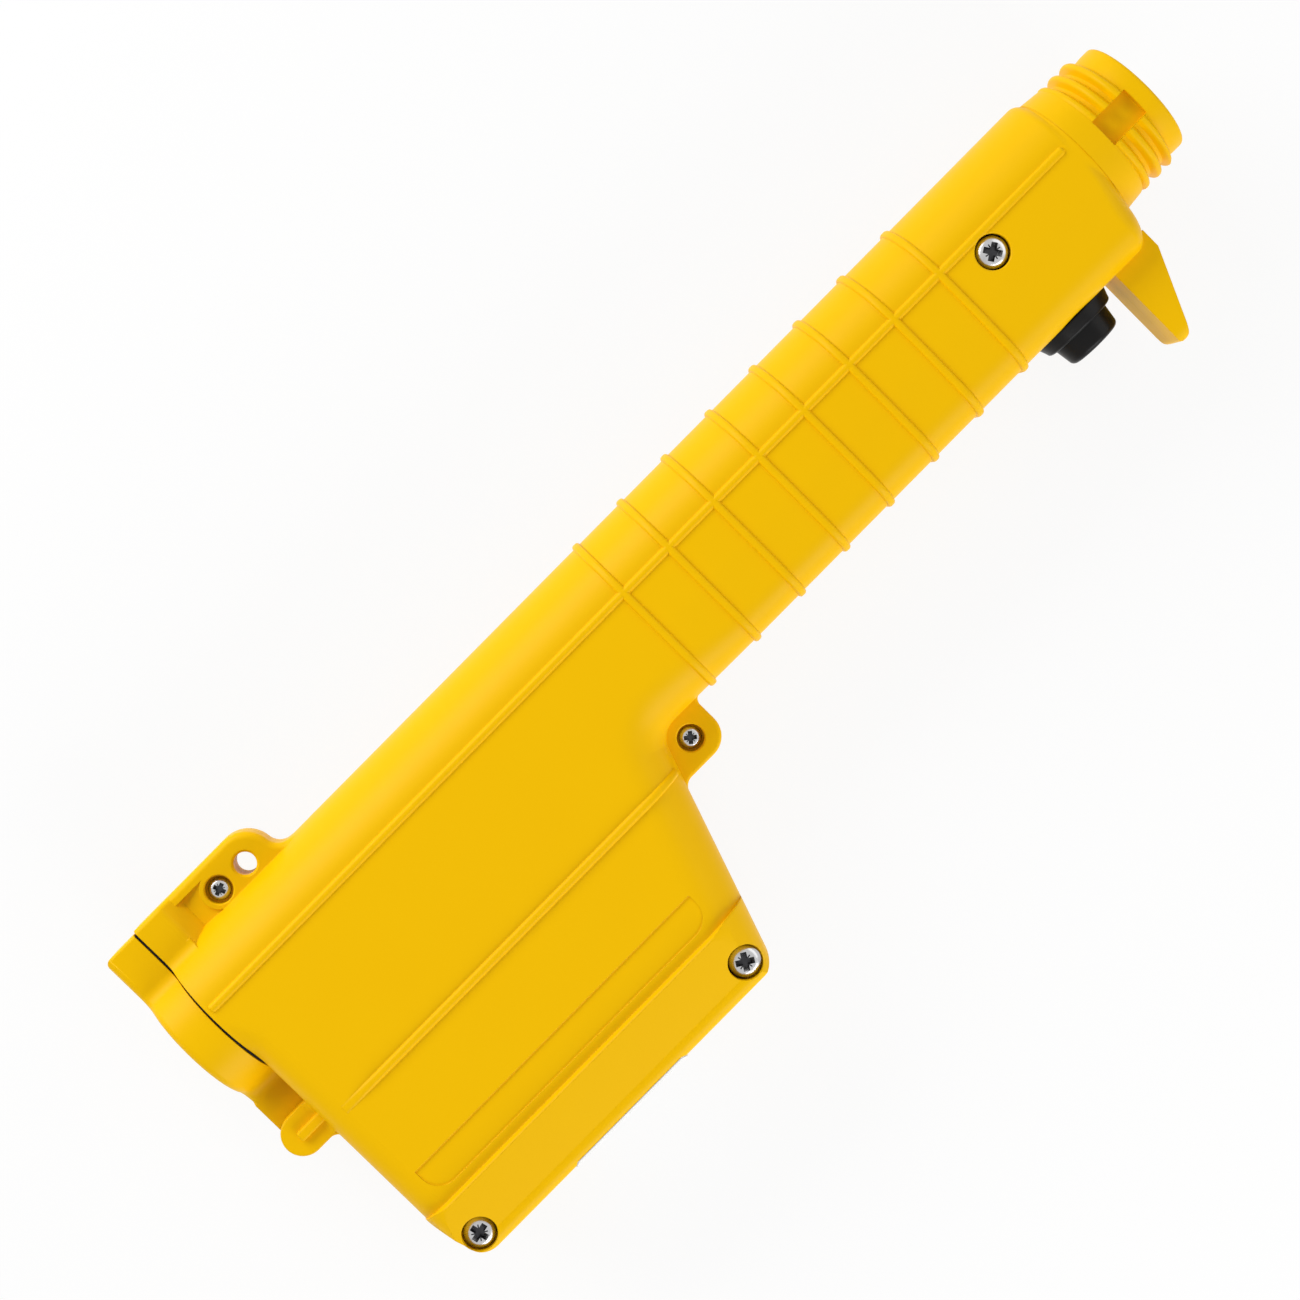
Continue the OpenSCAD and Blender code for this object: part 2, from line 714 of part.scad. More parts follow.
// Posts under the circuit board
module board_posts() {
    for (x = [board_rear_x + post_inset, board_rear_x + board_l - post_inset],
         y = [board_top_y - post_inset, board_top_y - board_h + post_inset])
        let (floor_t = y < -band_drop ? band_edge_t : half_t)
            translate([x, y, -(floor_t - wall / 2)])
                cylinder(h = floor_t - wall / 2 + board_z - board_t, r = post_r);
}

// Bosses of the large screws and the pad under the switch nut
module bosses() {
    intersection() {
        union() {
            grip_solid();
            box_solid();
        }
        for (s = LARGE_SCREWS)
            translate([s[0].x, s[0].y, lap - s[1] - large_head_h])
                cylinder(h = 2 * s[1] + large_head_h, r = boss_r);
    }
    intersection() {
        yz(switch_x - nut_r - lap, switch_x + nut_r + lap) grip_section(wall / 2);
        switch_rod(-grip_drop, -grip_drop + pad_t, nut_r + lap, nut_r + lap);
    }
}

// Everything that is cut out of the case for other pieces
module case_cuts() {
    turned() translate([0, nose_l - lap]) square([spigot_r + fit, front_wall + 2 * lap]);
    turned() translate([0, nose_l + front_wall]) square([spigot_flange_r + pass, spigot_flange_t + pass]);
    yz(rear_x - lap, rear_x + rear_wall + lap) circle(bore_r + pass);
    yz(rear_x - lap, strip_foot_x + strip_foot_w + lap) translate([-(strip_y + strip_t + pass), -strip_half - pass])
        square([strip_t + strip_gap + 2 * pass, 2 * (strip_half + pass)]);
    yz(rear_x - lap, rear_x + tongue_l + tongue_room)
        translate([tongue_y - pass, -tongue_t - pass]) square([tongue_h + tongue_rise + pass, 2 * (tongue_t + pass)]);
    switch_rod(-grip_drop - lap, -grip_drop + pad_t + lap, barrel_r + fit, barrel_r + fit);
    translate([lanyard_x, lanyard_y(), -flange_t]) cylinder(h = 2 * flange_t, r = lanyard_r);
    translate([hinge_x, hinge_y, -pin_half - slip]) cylinder(h = 2 * (pin_half + slip), r = pin_r + fit);
    for (s = LARGE_SCREWS)
        screw_hole(s[0], s[1], boss_bottom + lap, large_shank_r, large_head_r);
    for (s = SMALL_SCREWS)
        screw_hole(s[0], s[1], s[2] - slip, small_shank_r, small_head_r);
    for (s = [0, 1])
        mirror([0, 0, s]) xy(half_t - panel_depth, half_t + lap) panel_outline();
}

// Counterbore and shank hole of a screw
module screw_hole(at, seat_z, end_z, shank_r, head_r) {
    translate([at.x, at.y, seat_z]) cylinder(h = half_t, r = head_r + pass);
    translate([at.x, at.y, end_z]) cylinder(h = seat_z - end_z + lap, r = shank_r + fit);
}

// Strip panel with two round lower corners
module panel_outline() {
    r = panel_corner_r;
    length = panel_front_x - panel_rear_x;
    translate([panel_rear_x, -panel_low]) intersection() {
        square([length, panel_h]);
        union() {
            translate([0, r]) square([length, panel_h]);
            translate([r, 0]) square([length - 2 * r, panel_h]);
            for (x = [r, length - r])
                translate([x, r]) circle(r);
        }
    }
}

// The whole case, before it is parted
module case() {
    difference() {
        union() {
            difference() {
                union() {
                    difference() {
                        grip_solid();
                        rear_roll_cut();
                    }
                    grip_end();
                    box_solid();
                    guard_solid();
                    ear_solid();
                    tab_solid();
                    grip_ribs();
                }
                case_hollow();
            }
            cradles();
            board_posts();
            bosses();
            hinge_lugs();
        }
        case_cuts();
    }
}

// Half of the space on one side of the parting plane
module side_space(side) {
    reach = 2 * box_drop;
    translate([rear_x - box_drop, -reach, side > 0 ? 0 : -reach]) cube([case_l + reach, 2 * reach, reach]);
}

module right_shell() {
    color("gold") intersection() {
        case();
        side_space(1);
    }
}

module left_shell() {
    color("gold") intersection() {
        case();
        side_space(-1);
    }
}

// Right-hand ridge of the thread, which runs into the neck
module thread_ridge() {
    steps = 36;
    sunk = 0.5;
    half_crest = thread_pitch * 0.15;
    half_base = thread_pitch * 0.42;
    start_x = -tip_l - half_base;
    lead = thread_l + pass;
    count = ceil(steps * lead / thread_pitch);
    profile = [[-half_base, -sunk], [-half_crest, thread_h], [half_crest, thread_h], [half_base, -sunk]];
    skin([for (i = [0 : count], q = profile)
        let (a = -360 * i / steps, r = tip_r + q[1])
        [start_x - thread_pitch * i / steps + q[0], r * cos(a), r * sin(a)]], len(profile));
}

module threaded_nose() {
    edge_r = neck_r - tip_r + root_in + slip;
    color("gold") difference() {
        union() {
            turned() {
                square([tip_r, tip_l]);
                square([tip_r - root_in, nose_l]);
                translate([0, tip_l + thread_l + edge_r]) square([neck_r, neck_l - edge_r]);
                translate([0, tip_l + thread_l]) square([neck_r - edge_r, neck_l]);
                translate([neck_r - edge_r, tip_l + thread_l + edge_r]) circle(edge_r);
                translate([0, nose_l - lap]) square([spigot_r, front_wall + fit + 2 * lap]);
                translate([0, nose_l + front_wall + fit]) square([spigot_flange_r, spigot_flange_t]);
            }
            rotate([180, 0, 0]) thread_ridge();
        }
        turned() translate([0, -lap]) square([socket_r, socket_bore_l + lap]);
        turned() square([seat_r, socket_depth]);
        turned() square([socket_r - socket_ledge, 2 * nose_l]);
        for (s = [0, 1])
            mirror([0, 0, s]) translate([-notch_rear, -notch_w / 2, notch_floor])
                cube([notch_rear - notch_front, notch_w, 2 * thread_h + neck_r - notch_floor]);
    }
}

module contact_carrier() {
    color("dimgray") difference() {
        turned() translate([0, socket_depth - carrier_t]) square([seat_r - fit, carrier_t]);
        nose_contact_rods(fit);
    }
}

// Pair of socket contacts, drawn larger by grow
module nose_contact_rods(grow) {
    for (s = [-1, 1])
        translate([-(socket_depth + contact_in), s * contact_y, 0]) rotate([0, 90, 0])
            cylinder(h = contact_in + carrier_t + contact_out, r = contact_r + grow);
}

module nose_contacts() {
    hole_r = 1.2;
    hole_l = 6;
    color("goldenrod") difference() {
        nose_contact_rods(0);
        for (s = [-1, 1])
            translate([-(socket_depth - carrier_t - contact_out) - hole_l, s * contact_y, 0]) rotate([0, 90, 0])
                cylinder(h = hole_l + lap, r = hole_r);
    }
}

// Outline of the door as Y and Z, drawn in by i
module door_outline(i) {
    circle(bulge_r - i);
    translate([0, -flange_t + i]) square([door_top - i, 2 * (flange_t - i)]);
    translate([-hinge_drop + knuckle_r, -knuckle_t + i]) square([hinge_drop - knuckle_r, 2 * (knuckle_t - i)]);
}

// Hollow corners of the door between its bulge and a flange of half thickness t
module bulge_fillets(t, side) {
    reach = door_fillet_r - fit;
    centre = [side * sqrt(pow(bulge_r + reach, 2) - pow(t + reach, 2)), t + reach];
    for (m = [0, 1])
        mirror([0, m]) difference() {
            polygon([[0, 0], [centre.x, 0], centre]);
            translate(centre) circle(door_fillet_r);
        }
}

module battery_door() {
    back_x = door_x - door_t;
    color("gold") difference() {
        union() {
            translate([back_x, 0, 0]) rotate([0, 90, 0]) rotate_extrude() {
                square([bulge_r - door_edge_r, door_t]);
                translate([0, door_edge_r]) square([bulge_r, door_t - door_edge_r]);
                translate([bulge_r - door_edge_r, door_edge_r]) circle(door_edge_r);
            }
            intersection() {
                xy(-flange_t, flange_t) mirror([1, 0])
                    rounded_end(-door_x, -back_x, -grip_drop, door_top, door_edge_r);
                yz(back_x, door_x) translate([0, -flange_t]) square([door_top, 2 * flange_t]);
            }
            yz(back_x + door_edge_r, door_x) union() {
                bulge_fillets(flange_t, 1);
                bulge_fillets(knuckle_t, -1);
            }
            xy(-knuckle_t, knuckle_t) translate([back_x, hinge_y]) square([door_t, hinge_drop]);
            translate([hinge_x, hinge_y, -knuckle_t]) cylinder(h = 2 * knuckle_t, r = knuckle_r);
            translate([door_x - lap, tongue_y, -tongue_t]) cube([seam + tongue_l + lap, tongue_h, 2 * tongue_t]);
        }
        translate([hinge_x, hinge_y, -knuckle_t - lap]) cylinder(h = 2 * (knuckle_t + lap), r = pin_r + fit);
    }
}

module door_gasket() {
    color("black") yz(door_x, rear_x - slip) difference() {
        door_outline(gasket_inset);
        circle(gasket_hole_r);
        translate([tongue_y - pass, -tongue_t - pass]) square([tongue_h + 2 * pass, 2 * (tongue_t + pass)]);
        translate([-2 * grip_drop, -grip_r]) square([2 * grip_drop - hinge_drop + 3 * knuckle_r, 2 * grip_r]);
    }
}

module door_hinge_pin() {
    color("silver") translate([hinge_x, hinge_y, -pin_half]) cylinder(h = 2 * pin_half, r = pin_r);
}

module door_contact_plate() {
    color("silver") yz(door_x, door_x + plate_t) union() {
        circle(plate_r);
        translate([-(strip_y + strip_t), -strip_half]) square([strip_y, 2 * strip_half]);
    }
}

module battery_spring() {
    rings = 8;
    start_x = door_x + plate_t + spring_wire_r + slip / 2;
    end_x = cell_rear_x - spring_wire_r - slip / 2;
    path = helix(start_x, end_x, spring_base_r, spring_tip_r, spring_turns, rings);
    echo(battery_spring_gap = least_gap(path, rings, spring_wire_r));
    color("silver") tube(path, spring_wire_r, 6, [1, 0, 0]);
}

// One cell, with its nub towards the nose
module cell(k) {
    edge_r = 1;
    can_l = cell_l - nub_h;
    color(k % 2 == 0 ? "slategray" : "dimgray")
        translate([cell_rear_x + k * (cell_l + slip), 0, 0]) rotate([0, 90, 0]) rotate_extrude() {
            square([cell_r - edge_r, can_l]);
            translate([0, edge_r]) square([cell_r, can_l - 2 * edge_r]);
            for (y = [edge_r, can_l - edge_r])
                translate([cell_r - edge_r, y]) circle(edge_r);
            square([nub_r, cell_l]);
        }
}

module front_contact() {
    color("silver") yz(cell_front_x, cell_front_x + contact_t) union() {
        translate([-contact_half, -contact_half]) square(2 * contact_half);
        translate([-contact_drop, -strip_half]) square([contact_drop, 2 * strip_half]);
    }
}

module return_strip() {
    foot_y = board_top_y - strip_foot_h;
    color("goldenrod") union() {
        yz(rear_x + plate_t, strip_foot_x + strip_foot_w)
            translate([-(strip_y + strip_t), -strip_half]) square([strip_t, 2 * strip_half]);
        xy(-strip_half, -strip_half + strip_t) translate([strip_foot_x, foot_y])
            square([strip_foot_w, -foot_y - strip_y - strip_t / 2]);
        xy(board_z, -strip_half + strip_t) translate([strip_foot_x, foot_y]) square([strip_foot_w, strip_t]);
    }
}

module switch_bezel() {
    low_y = -(grip_drop + collar_h);
    color("black") difference() {
        union() {
            switch_rod(low_y, -grip_drop, collar_r - collar_taper, collar_r);
            switch_rod(-grip_drop - lap, barrel_top_y, barrel_r, barrel_r);
        }
        switch_rod(low_y - lap, throat_y, cap_r + slip, cap_r + slip);
        switch_rod(low_y, barrel_top_y, throat_r + fit, throat_r + fit);
        switch_rod(throat_y + throat_h, barrel_top_y + lap, chamber_r, chamber_r);
    }
}

module switch_button() {
    end_r = 1.5;
    low_y = -(grip_drop + collar_h + cap_out);
    cap_y = -(grip_drop + collar_h - cap_in);
    draft = 0.6;
    color("black") difference() {
        union() {
            translate([switch_x, low_y, 0]) rotate([-90, 0, 0]) rotate_extrude() {
                square([cap_r - draft - end_r, end_r]);
                translate([0, end_r]) polygon([
                    [0, 0], [cap_r - draft, 0], [cap_r, cap_out], [cap_r, cap_y - low_y - end_r],
                    [0, cap_y - low_y - end_r]
                ]);
                translate([cap_r - draft - end_r, end_r]) circle(end_r);
            }
            switch_rod(cap_y - lap, stem_top_y, throat_r, throat_r);
            switch_rod(stem_top_y - ring_t, stem_top_y, ring_r, ring_r);
        }
        switch_rod(stem_top_y - spring_pocket_l, stem_top_y + lap, spring_pocket_r, spring_pocket_r);
    }
}

module switch_nut() {
    low_y = -grip_drop + pad_t;
    color("silver") difference() {
        translate([switch_x, low_y, 0]) rotate([-90, 0, 0]) cylinder(h = nut_t, r = nut_r, $fn = 6);
        switch_rod(low_y - lap, low_y + nut_t + lap, barrel_r + fit, barrel_r + fit);
    }
}

module switch_body() {
    color("dimgray") difference() {
        switch_rod(barrel_top_y, barrel_top_y + switch_body_t, barrel_r, barrel_r);
        switch_rod(barrel_top_y - lap, barrel_top_y + spring_seat_l, spring_pocket_r, spring_pocket_r);
    }
}

module switch_terminals() {
    blade = [0.8, 3];
    base_y = barrel_top_y + switch_body_t;
    color("silver") for (t = terminal_spots)
        translate([switch_x + t[0] - blade.x / 2, base_y, t[1] - blade.y / 2]) cube([blade.x, terminal_h, blade.y]);
}

module button_spring() {
    rings = 8;
    wire_r = 0.35;
    coil_r = 3.2;
    turns = 6;
    low_y = stem_top_y - spring_pocket_l + wire_r + slip / 2;
    high_y = barrel_top_y + spring_seat_l - wire_r - slip / 2;
    path = helix(low_y, high_y, coil_r, coil_r, turns, rings);
    echo(button_spring_gap = least_gap(path, rings, wire_r));
    color("silver") translate([switch_x, 0, 0]) rotate([0, 0, 90]) tube(path, wire_r, 6, [1, 0, 0]);
}

module circuit_board() {
    color("darkgreen") translate([board_rear_x, board_top_y - board_h, board_z - board_t])
        cube([board_l, board_h, board_t]);
}

module transformer_core() {
    color("dimgray") translate([core_x, core_y, core_z]) difference() {
        cube([core_l, core_h, core_t], center = true);
        for (s = [-1, 1])
            translate([s * (core_limb + core_window) / 2, 0, 0])
                cube([core_window, core_h - 2 * core_yoke, core_t + 2 * lap], center = true);
    }
}

module transformer_winding() {
    coil_l = core_limb + 2 * core_window - 2 * pass;
    coil_h = core_h - 2 * core_yoke - 2 * pass;
    color("peru") translate([core_x, core_y, core_z]) difference() {
        cube([coil_l, coil_h, coil_t], center = true);
        cube([core_limb + 2 * slip, core_h, core_t + 2 * slip], center = true);
    }
}

module capacitor() {
    color("midnightblue")
        translate([board_rear_x + capacitor_at.x, board_top_y - capacitor_at.y, board_z + capacitor_r + slip])
            rotate([0, 90, 0]) cylinder(h = capacitor_l, r = capacitor_r);
}

module power_transistor() {
    tab_thick = 1.3;
    color("black") translate([board_rear_x + transistor_at.x, board_top_y - transistor_at.y, board_z]) union() {
        cube(transistor);
        translate([0, transistor.y - lap, 0]) cube([transistor.x, transistor_tab_h + lap, tab_thick]);
    }
}

module output_leads() {
    color("firebrick") for (route = OUTPUT_ROUTES)
        tube(route, lead_r, lead_sides, [0, 0, 1]);
}

module switch_leads() {
    color("darkslategray") for (route = SWITCH_ROUTES)
        tube(route, lead_r, lead_sides, [0, 0, 1]);
}

module battery_lead() {
    color("crimson") tube(BATTERY_ROUTE, lead_r, lead_sides, [0, 0, 1]);
}

// Pan head screw along Z with a cross recess, seated at the origin
module pan_screw(head_r, head_h, shank_r, shank_l) {
    crown = head_h * 0.45;
    slot_w = head_r * 0.28;
    slot_l = head_r * 1.15;
    slot_h = head_h * 0.6;
    difference() {
        union() {
            rotate_extrude() {
                square([head_r, head_h - crown]);
                square([head_r - crown, head_h]);
                translate([head_r - crown, head_h - crown]) circle(crown);
            }
            translate([0, 0, -shank_l]) cylinder(h = shank_l + lap, r = shank_r);
        }
        for (a = [45, 135])
            rotate([0, 0, a]) translate([-slot_l / 2, -slot_w / 2, head_h - slot_h])
                cube([slot_l, slot_w, slot_h + lap]);
    }
}

module large_screws() {
    color("silver") for (s = LARGE_SCREWS)
        translate([s[0].x, s[0].y, s[1]])
            pan_screw(large_head_r, large_head_h, large_shank_r, s[1] - boss_bottom - lap - slip);
}

module small_screws() {
    color("silver") for (s = SMALL_SCREWS)
        translate([s[0].x, s[0].y, s[1]]) pan_screw(small_head_r, small_head_h, small_shank_r, s[1] - s[2]);
}

module blank_label() {
    color("white") translate([(heel.x + toe.x - label_l) / 2, -box_drop - label_t, -label_half_t])
        cube([label_l, label_t, 2 * label_half_t]);
}

right_shell();
left_shell();
threaded_nose();
contact_carrier();
nose_contacts();
battery_door();
door_gasket();
door_hinge_pin();
door_contact_plate();
battery_spring();
for (k = [0 : cell_count - 1])
    cell(k);
front_contact();
return_strip();
switch_bezel();
switch_button();
switch_nut();
switch_body();
switch_terminals();
button_spring();
circuit_board();
transformer_core();
transformer_winding();
capacitor();
power_transistor();
output_leads();
switch_leads();
battery_lead();
large_screws();
small_screws();
blank_label();
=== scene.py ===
"""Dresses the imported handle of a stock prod: new outer pieces, finishes, studio and camera."""

import logging
import math
from collections.abc import Callable, Iterator, Sequence
from contextlib import contextmanager
from dataclasses import dataclass, field
from enum import Enum

import bmesh
import bpy
from mathutils import Matrix, Vector


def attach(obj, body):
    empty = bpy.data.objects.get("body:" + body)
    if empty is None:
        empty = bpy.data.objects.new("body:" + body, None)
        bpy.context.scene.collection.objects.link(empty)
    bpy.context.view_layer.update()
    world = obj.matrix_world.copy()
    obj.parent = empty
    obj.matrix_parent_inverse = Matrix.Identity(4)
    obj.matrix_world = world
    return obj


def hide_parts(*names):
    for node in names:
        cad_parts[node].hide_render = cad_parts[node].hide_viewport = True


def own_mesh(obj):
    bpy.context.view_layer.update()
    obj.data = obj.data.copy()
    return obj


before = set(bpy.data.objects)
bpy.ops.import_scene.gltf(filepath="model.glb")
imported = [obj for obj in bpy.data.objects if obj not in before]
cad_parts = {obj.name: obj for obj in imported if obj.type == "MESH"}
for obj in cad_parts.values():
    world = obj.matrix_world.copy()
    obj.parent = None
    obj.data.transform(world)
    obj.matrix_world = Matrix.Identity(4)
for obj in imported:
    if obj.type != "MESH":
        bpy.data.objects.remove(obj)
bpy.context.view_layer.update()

LOG = logging.getLogger("handle")
MM = 0.001
Point = tuple[float, float]
Colour = tuple[float, float, float]
EdgeTest = Callable[[bmesh.types.BMEdge], bool]

# Least angle of a sharp edge in degrees, and steps round turned pieces.
SHARP = 60
ROUND_STEPS = 96
HOLE_STEPS = 64
SCREW_STEPS = 72
NOSE_STEPS = 128

# Lengths in millimetres: the rise of an edge that counts as level, the overlap of faces that would meet,
# how far tools reach past a face, how deep added pieces sit, and places beside and beyond the case.
LEVEL = 0.001
LAP = 0.01
PAST = 2.0
SUNK = 3.0
BESIDE = 60.0
FAR = 400.0

# Places in millimetres that several pieces share.
SHOULDER_X = -21.5
SWITCH_X = -48.0
HINGE = (-313.0, -32.2)
PIN_HOLE_R = 1.55

WHITE = (1.0, 1.0, 1.0, 1.0)


class Plane(Enum):
    """Plane that an outline is drawn in, pushed along the remaining axis."""

    SIDE = "X and Y, pushed along Z"
    SECTION = "Y and Z, pushed along X"
    PLAN = "X and Z, pushed along Y"

    def place(self, u: float, v: float, w: float) -> Vector:
        """Places a point of the outline in space.

        Args:
            u: First coordinate in the plane, in millimetres.
            v: Second coordinate in the plane.
            w: Distance along the axis that the plane is pushed along.

        Returns:
            The point in metres.
        """
        if self is Plane.SIDE:
            return Vector((u, v, w)) * MM
        if self is Plane.SECTION:
            return Vector((w, u, v)) * MM
        return Vector((u, w, v)) * MM


class Join(Enum):
    """Ways to combine two solids."""

    ADD = "UNION"
    CUT = "DIFFERENCE"
    COMMON = "INTERSECT"


class Side(Enum):
    """The two halves of the case."""

    RIGHT = 1
    LEFT = -1

    def span(self, near: float, far: float) -> list[float]:
        """Gives the stretch of Z between two distances on this side, lowest end first."""
        return sorted((self.value * near, self.value * far))

    def laid(self, outline: Sequence[Point]) -> list[Point]:
        """Lays an outline of the right side on this side, over its first axis."""
        return [(u, v * self.value) for u, v in outline]


@dataclass(frozen=True)
class Seat:
    """Seat of a screw in the case.

    Attributes:
        place: X and Y of its axis in millimetres.
        floor: Height of its floor.
        well_r: Radius of its well.
        turn: Turn of the screw's cross in degrees.
    """

    place: Point
    floor: float
    well_r: float
    turn: float


LARGE_SEATS = (
    Seat((-53.0, -1.0), 14.7, 4.3, 33), Seat((-299.6, -77.4), 12.3, 4.3, 12),
    Seat((-210.75, -77.0), 12.3, 4.3, 58),
)
SMALL_SEATS = (Seat((-285.9, 22.2), 2.4, 3.4, 20), Seat((-182.5, -31.8), 1.7, 3.3, 51))


def arc(centre: Point, radius: float, start: float, end: float, steps: int) -> list[Point]:
    """Points along an arc.

    Args:
        centre: Centre of the arc.
        radius: Radius in millimetres.
        start: First angle in degrees.
        end: Last angle in degrees.
        steps: Number of chords.

    Returns:
        The points, with both ends.
    """
    angles = [math.radians(start + (end - start) * i / steps) for i in range(steps + 1)]
    return [(centre[0] + radius * math.cos(a), centre[1] + radius * math.sin(a)) for a in angles]


def mirrored(half: Sequence[Point]) -> list[Point]:
    """Closes a half outline by its mirror image over the first axis."""
    return list(half) + [(u, -v) for u, v in reversed(half)]


def both_ways(half: Sequence[Point]) -> list[Point]:
    """Puts the mirror image of a half profile, over its second axis, before it."""
    return [(-u, v) for u, v in reversed(half[1:])] + list(half)


def grown(outline: Sequence[Point], amount: float | Sequence[float]) -> list[Point]:
    """Moves each point of a closed outline square to its neighbours.

    Args:
        outline: Points that run anticlockwise.
        amount: Distance outwards in millimetres, one for all points or one for each.

    Returns:
        The moved points.
    """
    amounts = [amount] * len(outline) if isinstance(amount, (int, float)) else amount
    moved = []
    for i, (u, v) in enumerate(outline):
        before, after = outline[i - 1], outline[(i + 1) % len(outline)]
        along = Vector((after[0] - before[0], after[1] - before[1])).normalized()
        moved.append((u + along.y * amounts[i], v - along.x * amounts[i]))
    return moved


def ease(share: float) -> float:
    """Turns a share from nothing to one into a soft step."""
    share = max(0.0, min(1.0, share))
    return share * share * (3 - 2 * share)


def sharp(edge: bmesh.types.BMEdge, angle: float = SHARP) -> bool:
    """Tells whether the faces beside an edge turn by more than an angle in degrees."""
    return len(edge.link_faces) == 2 and edge.calc_face_angle() > math.radians(angle)


def box_round(edge: bmesh.types.BMEdge) -> tuple[Vector, Vector]:
    """Gives the lowest and the highest corner of the box round an edge, in millimetres."""
    first, second = (vertex.co / MM for vertex in edge.verts)
    return Vector(map(min, first, second)), Vector(map(max, first, second))


class Bench:
    """Blender's modelling operators, with sizes in millimetres."""

    weld: float = 0.002
    flat_weight: int = 80

    @staticmethod
    def hold(thing: bpy.types.Object) -> None:
        """Selects one object alone and makes it active.

        Args:
            thing: Object to select.
        """
        bpy.ops.object.select_all(action="DESELECT")
        thing.select_set(True)
        bpy.context.view_layer.objects.active = thing

    @classmethod
    @contextmanager
    def editing(cls, thing: bpy.types.Object) -> Iterator[None]:
        """Keeps an object in edit mode with everything selected.

        Args:
            thing: Mesh object to edit.

        Yields:
            Nothing; the operators work on the active object.
        """
        cls.hold(thing)
        bpy.ops.object.mode_set(mode="EDIT")
        bpy.ops.mesh.select_all(action="SELECT")
        yield
        bpy.ops.object.mode_set(mode="OBJECT")

    @classmethod
    def tidy(cls) -> None:
        """Closes seams and turns the faces outwards, in edit mode."""
        bpy.ops.mesh.select_all(action="SELECT")
        bpy.ops.mesh.remove_doubles(threshold=cls.weld * MM)
        bpy.ops.mesh.delete_loose(use_verts=True, use_edges=True, use_faces=False)
        bpy.ops.mesh.select_all(action="SELECT")
        bpy.ops.mesh.normals_make_consistent(inside=False)

    @classmethod
    def shape(
        cls, thing: bpy.types.Object, kind: str, **settings: str | float | bpy.types.Object
    ) -> bpy.types.Object:
        """Gives an object a modifier and applies it.

        Args:
            thing: Object to change.
            kind: Type of the modifier.
            settings: Settings of the modifier.

        Returns:
            The same object.
        """
        step = thing.modifiers.new(kind, kind)
        for key, value in settings.items():
            setattr(step, key, value)
        cls.hold(thing)
        bpy.ops.object.modifier_apply(modifier=step.name)
        return thing

    @classmethod
    def ring(cls, name: str, points: Sequence[Vector], filled: bool) -> bpy.types.Object:
        """Adds a circle and sets its corners to a list of points.

        Args:
            name: Name of the new object.
            points: Corners in metres, in order.
            filled: Whether the ring is a face or only a line.

        Returns:
            The new object.
        """
        bpy.ops.object.select_all(action="DESELECT")
        bpy.ops.mesh.primitive_circle_add(
            vertices=len(points), radius=MM, fill_type="NGON" if filled else "NOTHING", location=(0, 0, 0)
        )
        thing = bpy.context.object
        thing.name = name
        for vertex, point in zip(thing.data.vertices, points):
            vertex.co = point
        return thing

    @classmethod
    def prism(
        cls, name: str, outline: Sequence[Point], plane: Plane, low: float, high: float
    ) -> bpy.types.Object:
        """Pushes an outline into a solid.

        Args:
            name: Name of the new object.
            outline: Corners of the outline.
            plane: Plane that it is drawn in.
            low: Where the solid starts along the third axis.
            high: Where it ends.

        Returns:
            The new object.
        """
        thing = cls.ring(name, [plane.place(u, v, low) for u, v in outline], True)
        with cls.editing(thing):
            bpy.ops.mesh.extrude_region_move(
                TRANSFORM_OT_translate={"value": plane.place(0, 0, high - low)}
            )
            cls.tidy()
        return thing

    @classmethod
    def loft(cls, name: str, rings: Sequence[Sequence[Vector]]) -> bpy.types.Object:
        """Pushes a ring from place to place into a solid.

        Args:
            name: Name of the new object.
            rings: Rings with equal numbers of corners, in metres.

        Returns:
            The new object.
        """
        thing = cls.ring(name, rings[0], True)
        with cls.editing(thing):
            for before, after in zip(rings, rings[1:]):
                bpy.ops.mesh.extrude_region_move(TRANSFORM_OT_translate={"value": (0, 0, 0)})
                moved = {tuple(old): new for old, new in zip(before, after)}
                mesh = bmesh.from_edit_mesh(thing.data)
                for vertex in mesh.verts:
                    if vertex.select:
                        vertex.co = moved[tuple(vertex.co)]
                bmesh.update_edit_mesh(thing.data)
            cls.tidy()
        return thing

    @classmethod
    def block(cls, name: str, low: Sequence[float], high: Sequence[float]) -> bpy.types.Object:
        """Makes a block between two corners.

        Args:
            name: Name of the new object.
            low: Lowest corner in millimetres.
            high: Highest corner.

        Returns:
            The new object.
        """
        outline = [(low[0], low[1]), (high[0], low[1]), (high[0], high[1]), (low[0], high[1])]
        return cls.prism(name, outline, Plane.SIDE, low[2], high[2])

    @classmethod
    def turned(
        cls, name: str, profile: Sequence[Point], axis: str, centre: Sequence[float],
        steps: int = ROUND_STEPS,
    ) -> bpy.types.Object:
        """Spins a profile into a round solid.

        Args:
            name: Name of the new object.
            profile: Places along the axis and radii, as a closed loop.
            axis: Letter of the axis.
            centre: Point on the axis, in millimetres.
            steps: Number of steps round the axis.

        Returns:
            The new object.
        """
        along = Vector([float(letter == axis) for letter in "XYZ"])
        out = Vector((0, 0, 1)) if axis != "Z" else Vector((1, 0, 0))
        middle = Vector(centre) * MM
        points = [middle + along * (place * MM) + out * (radius * MM) for place, radius in profile]
        thing = cls.ring(name, points, False)
        with cls.editing(thing):
            bpy.ops.mesh.spin(
                steps=steps, angle=math.tau, center=middle, axis=along, use_auto_merge=True, dupli=False
            )
            cls.tidy()
        return thing

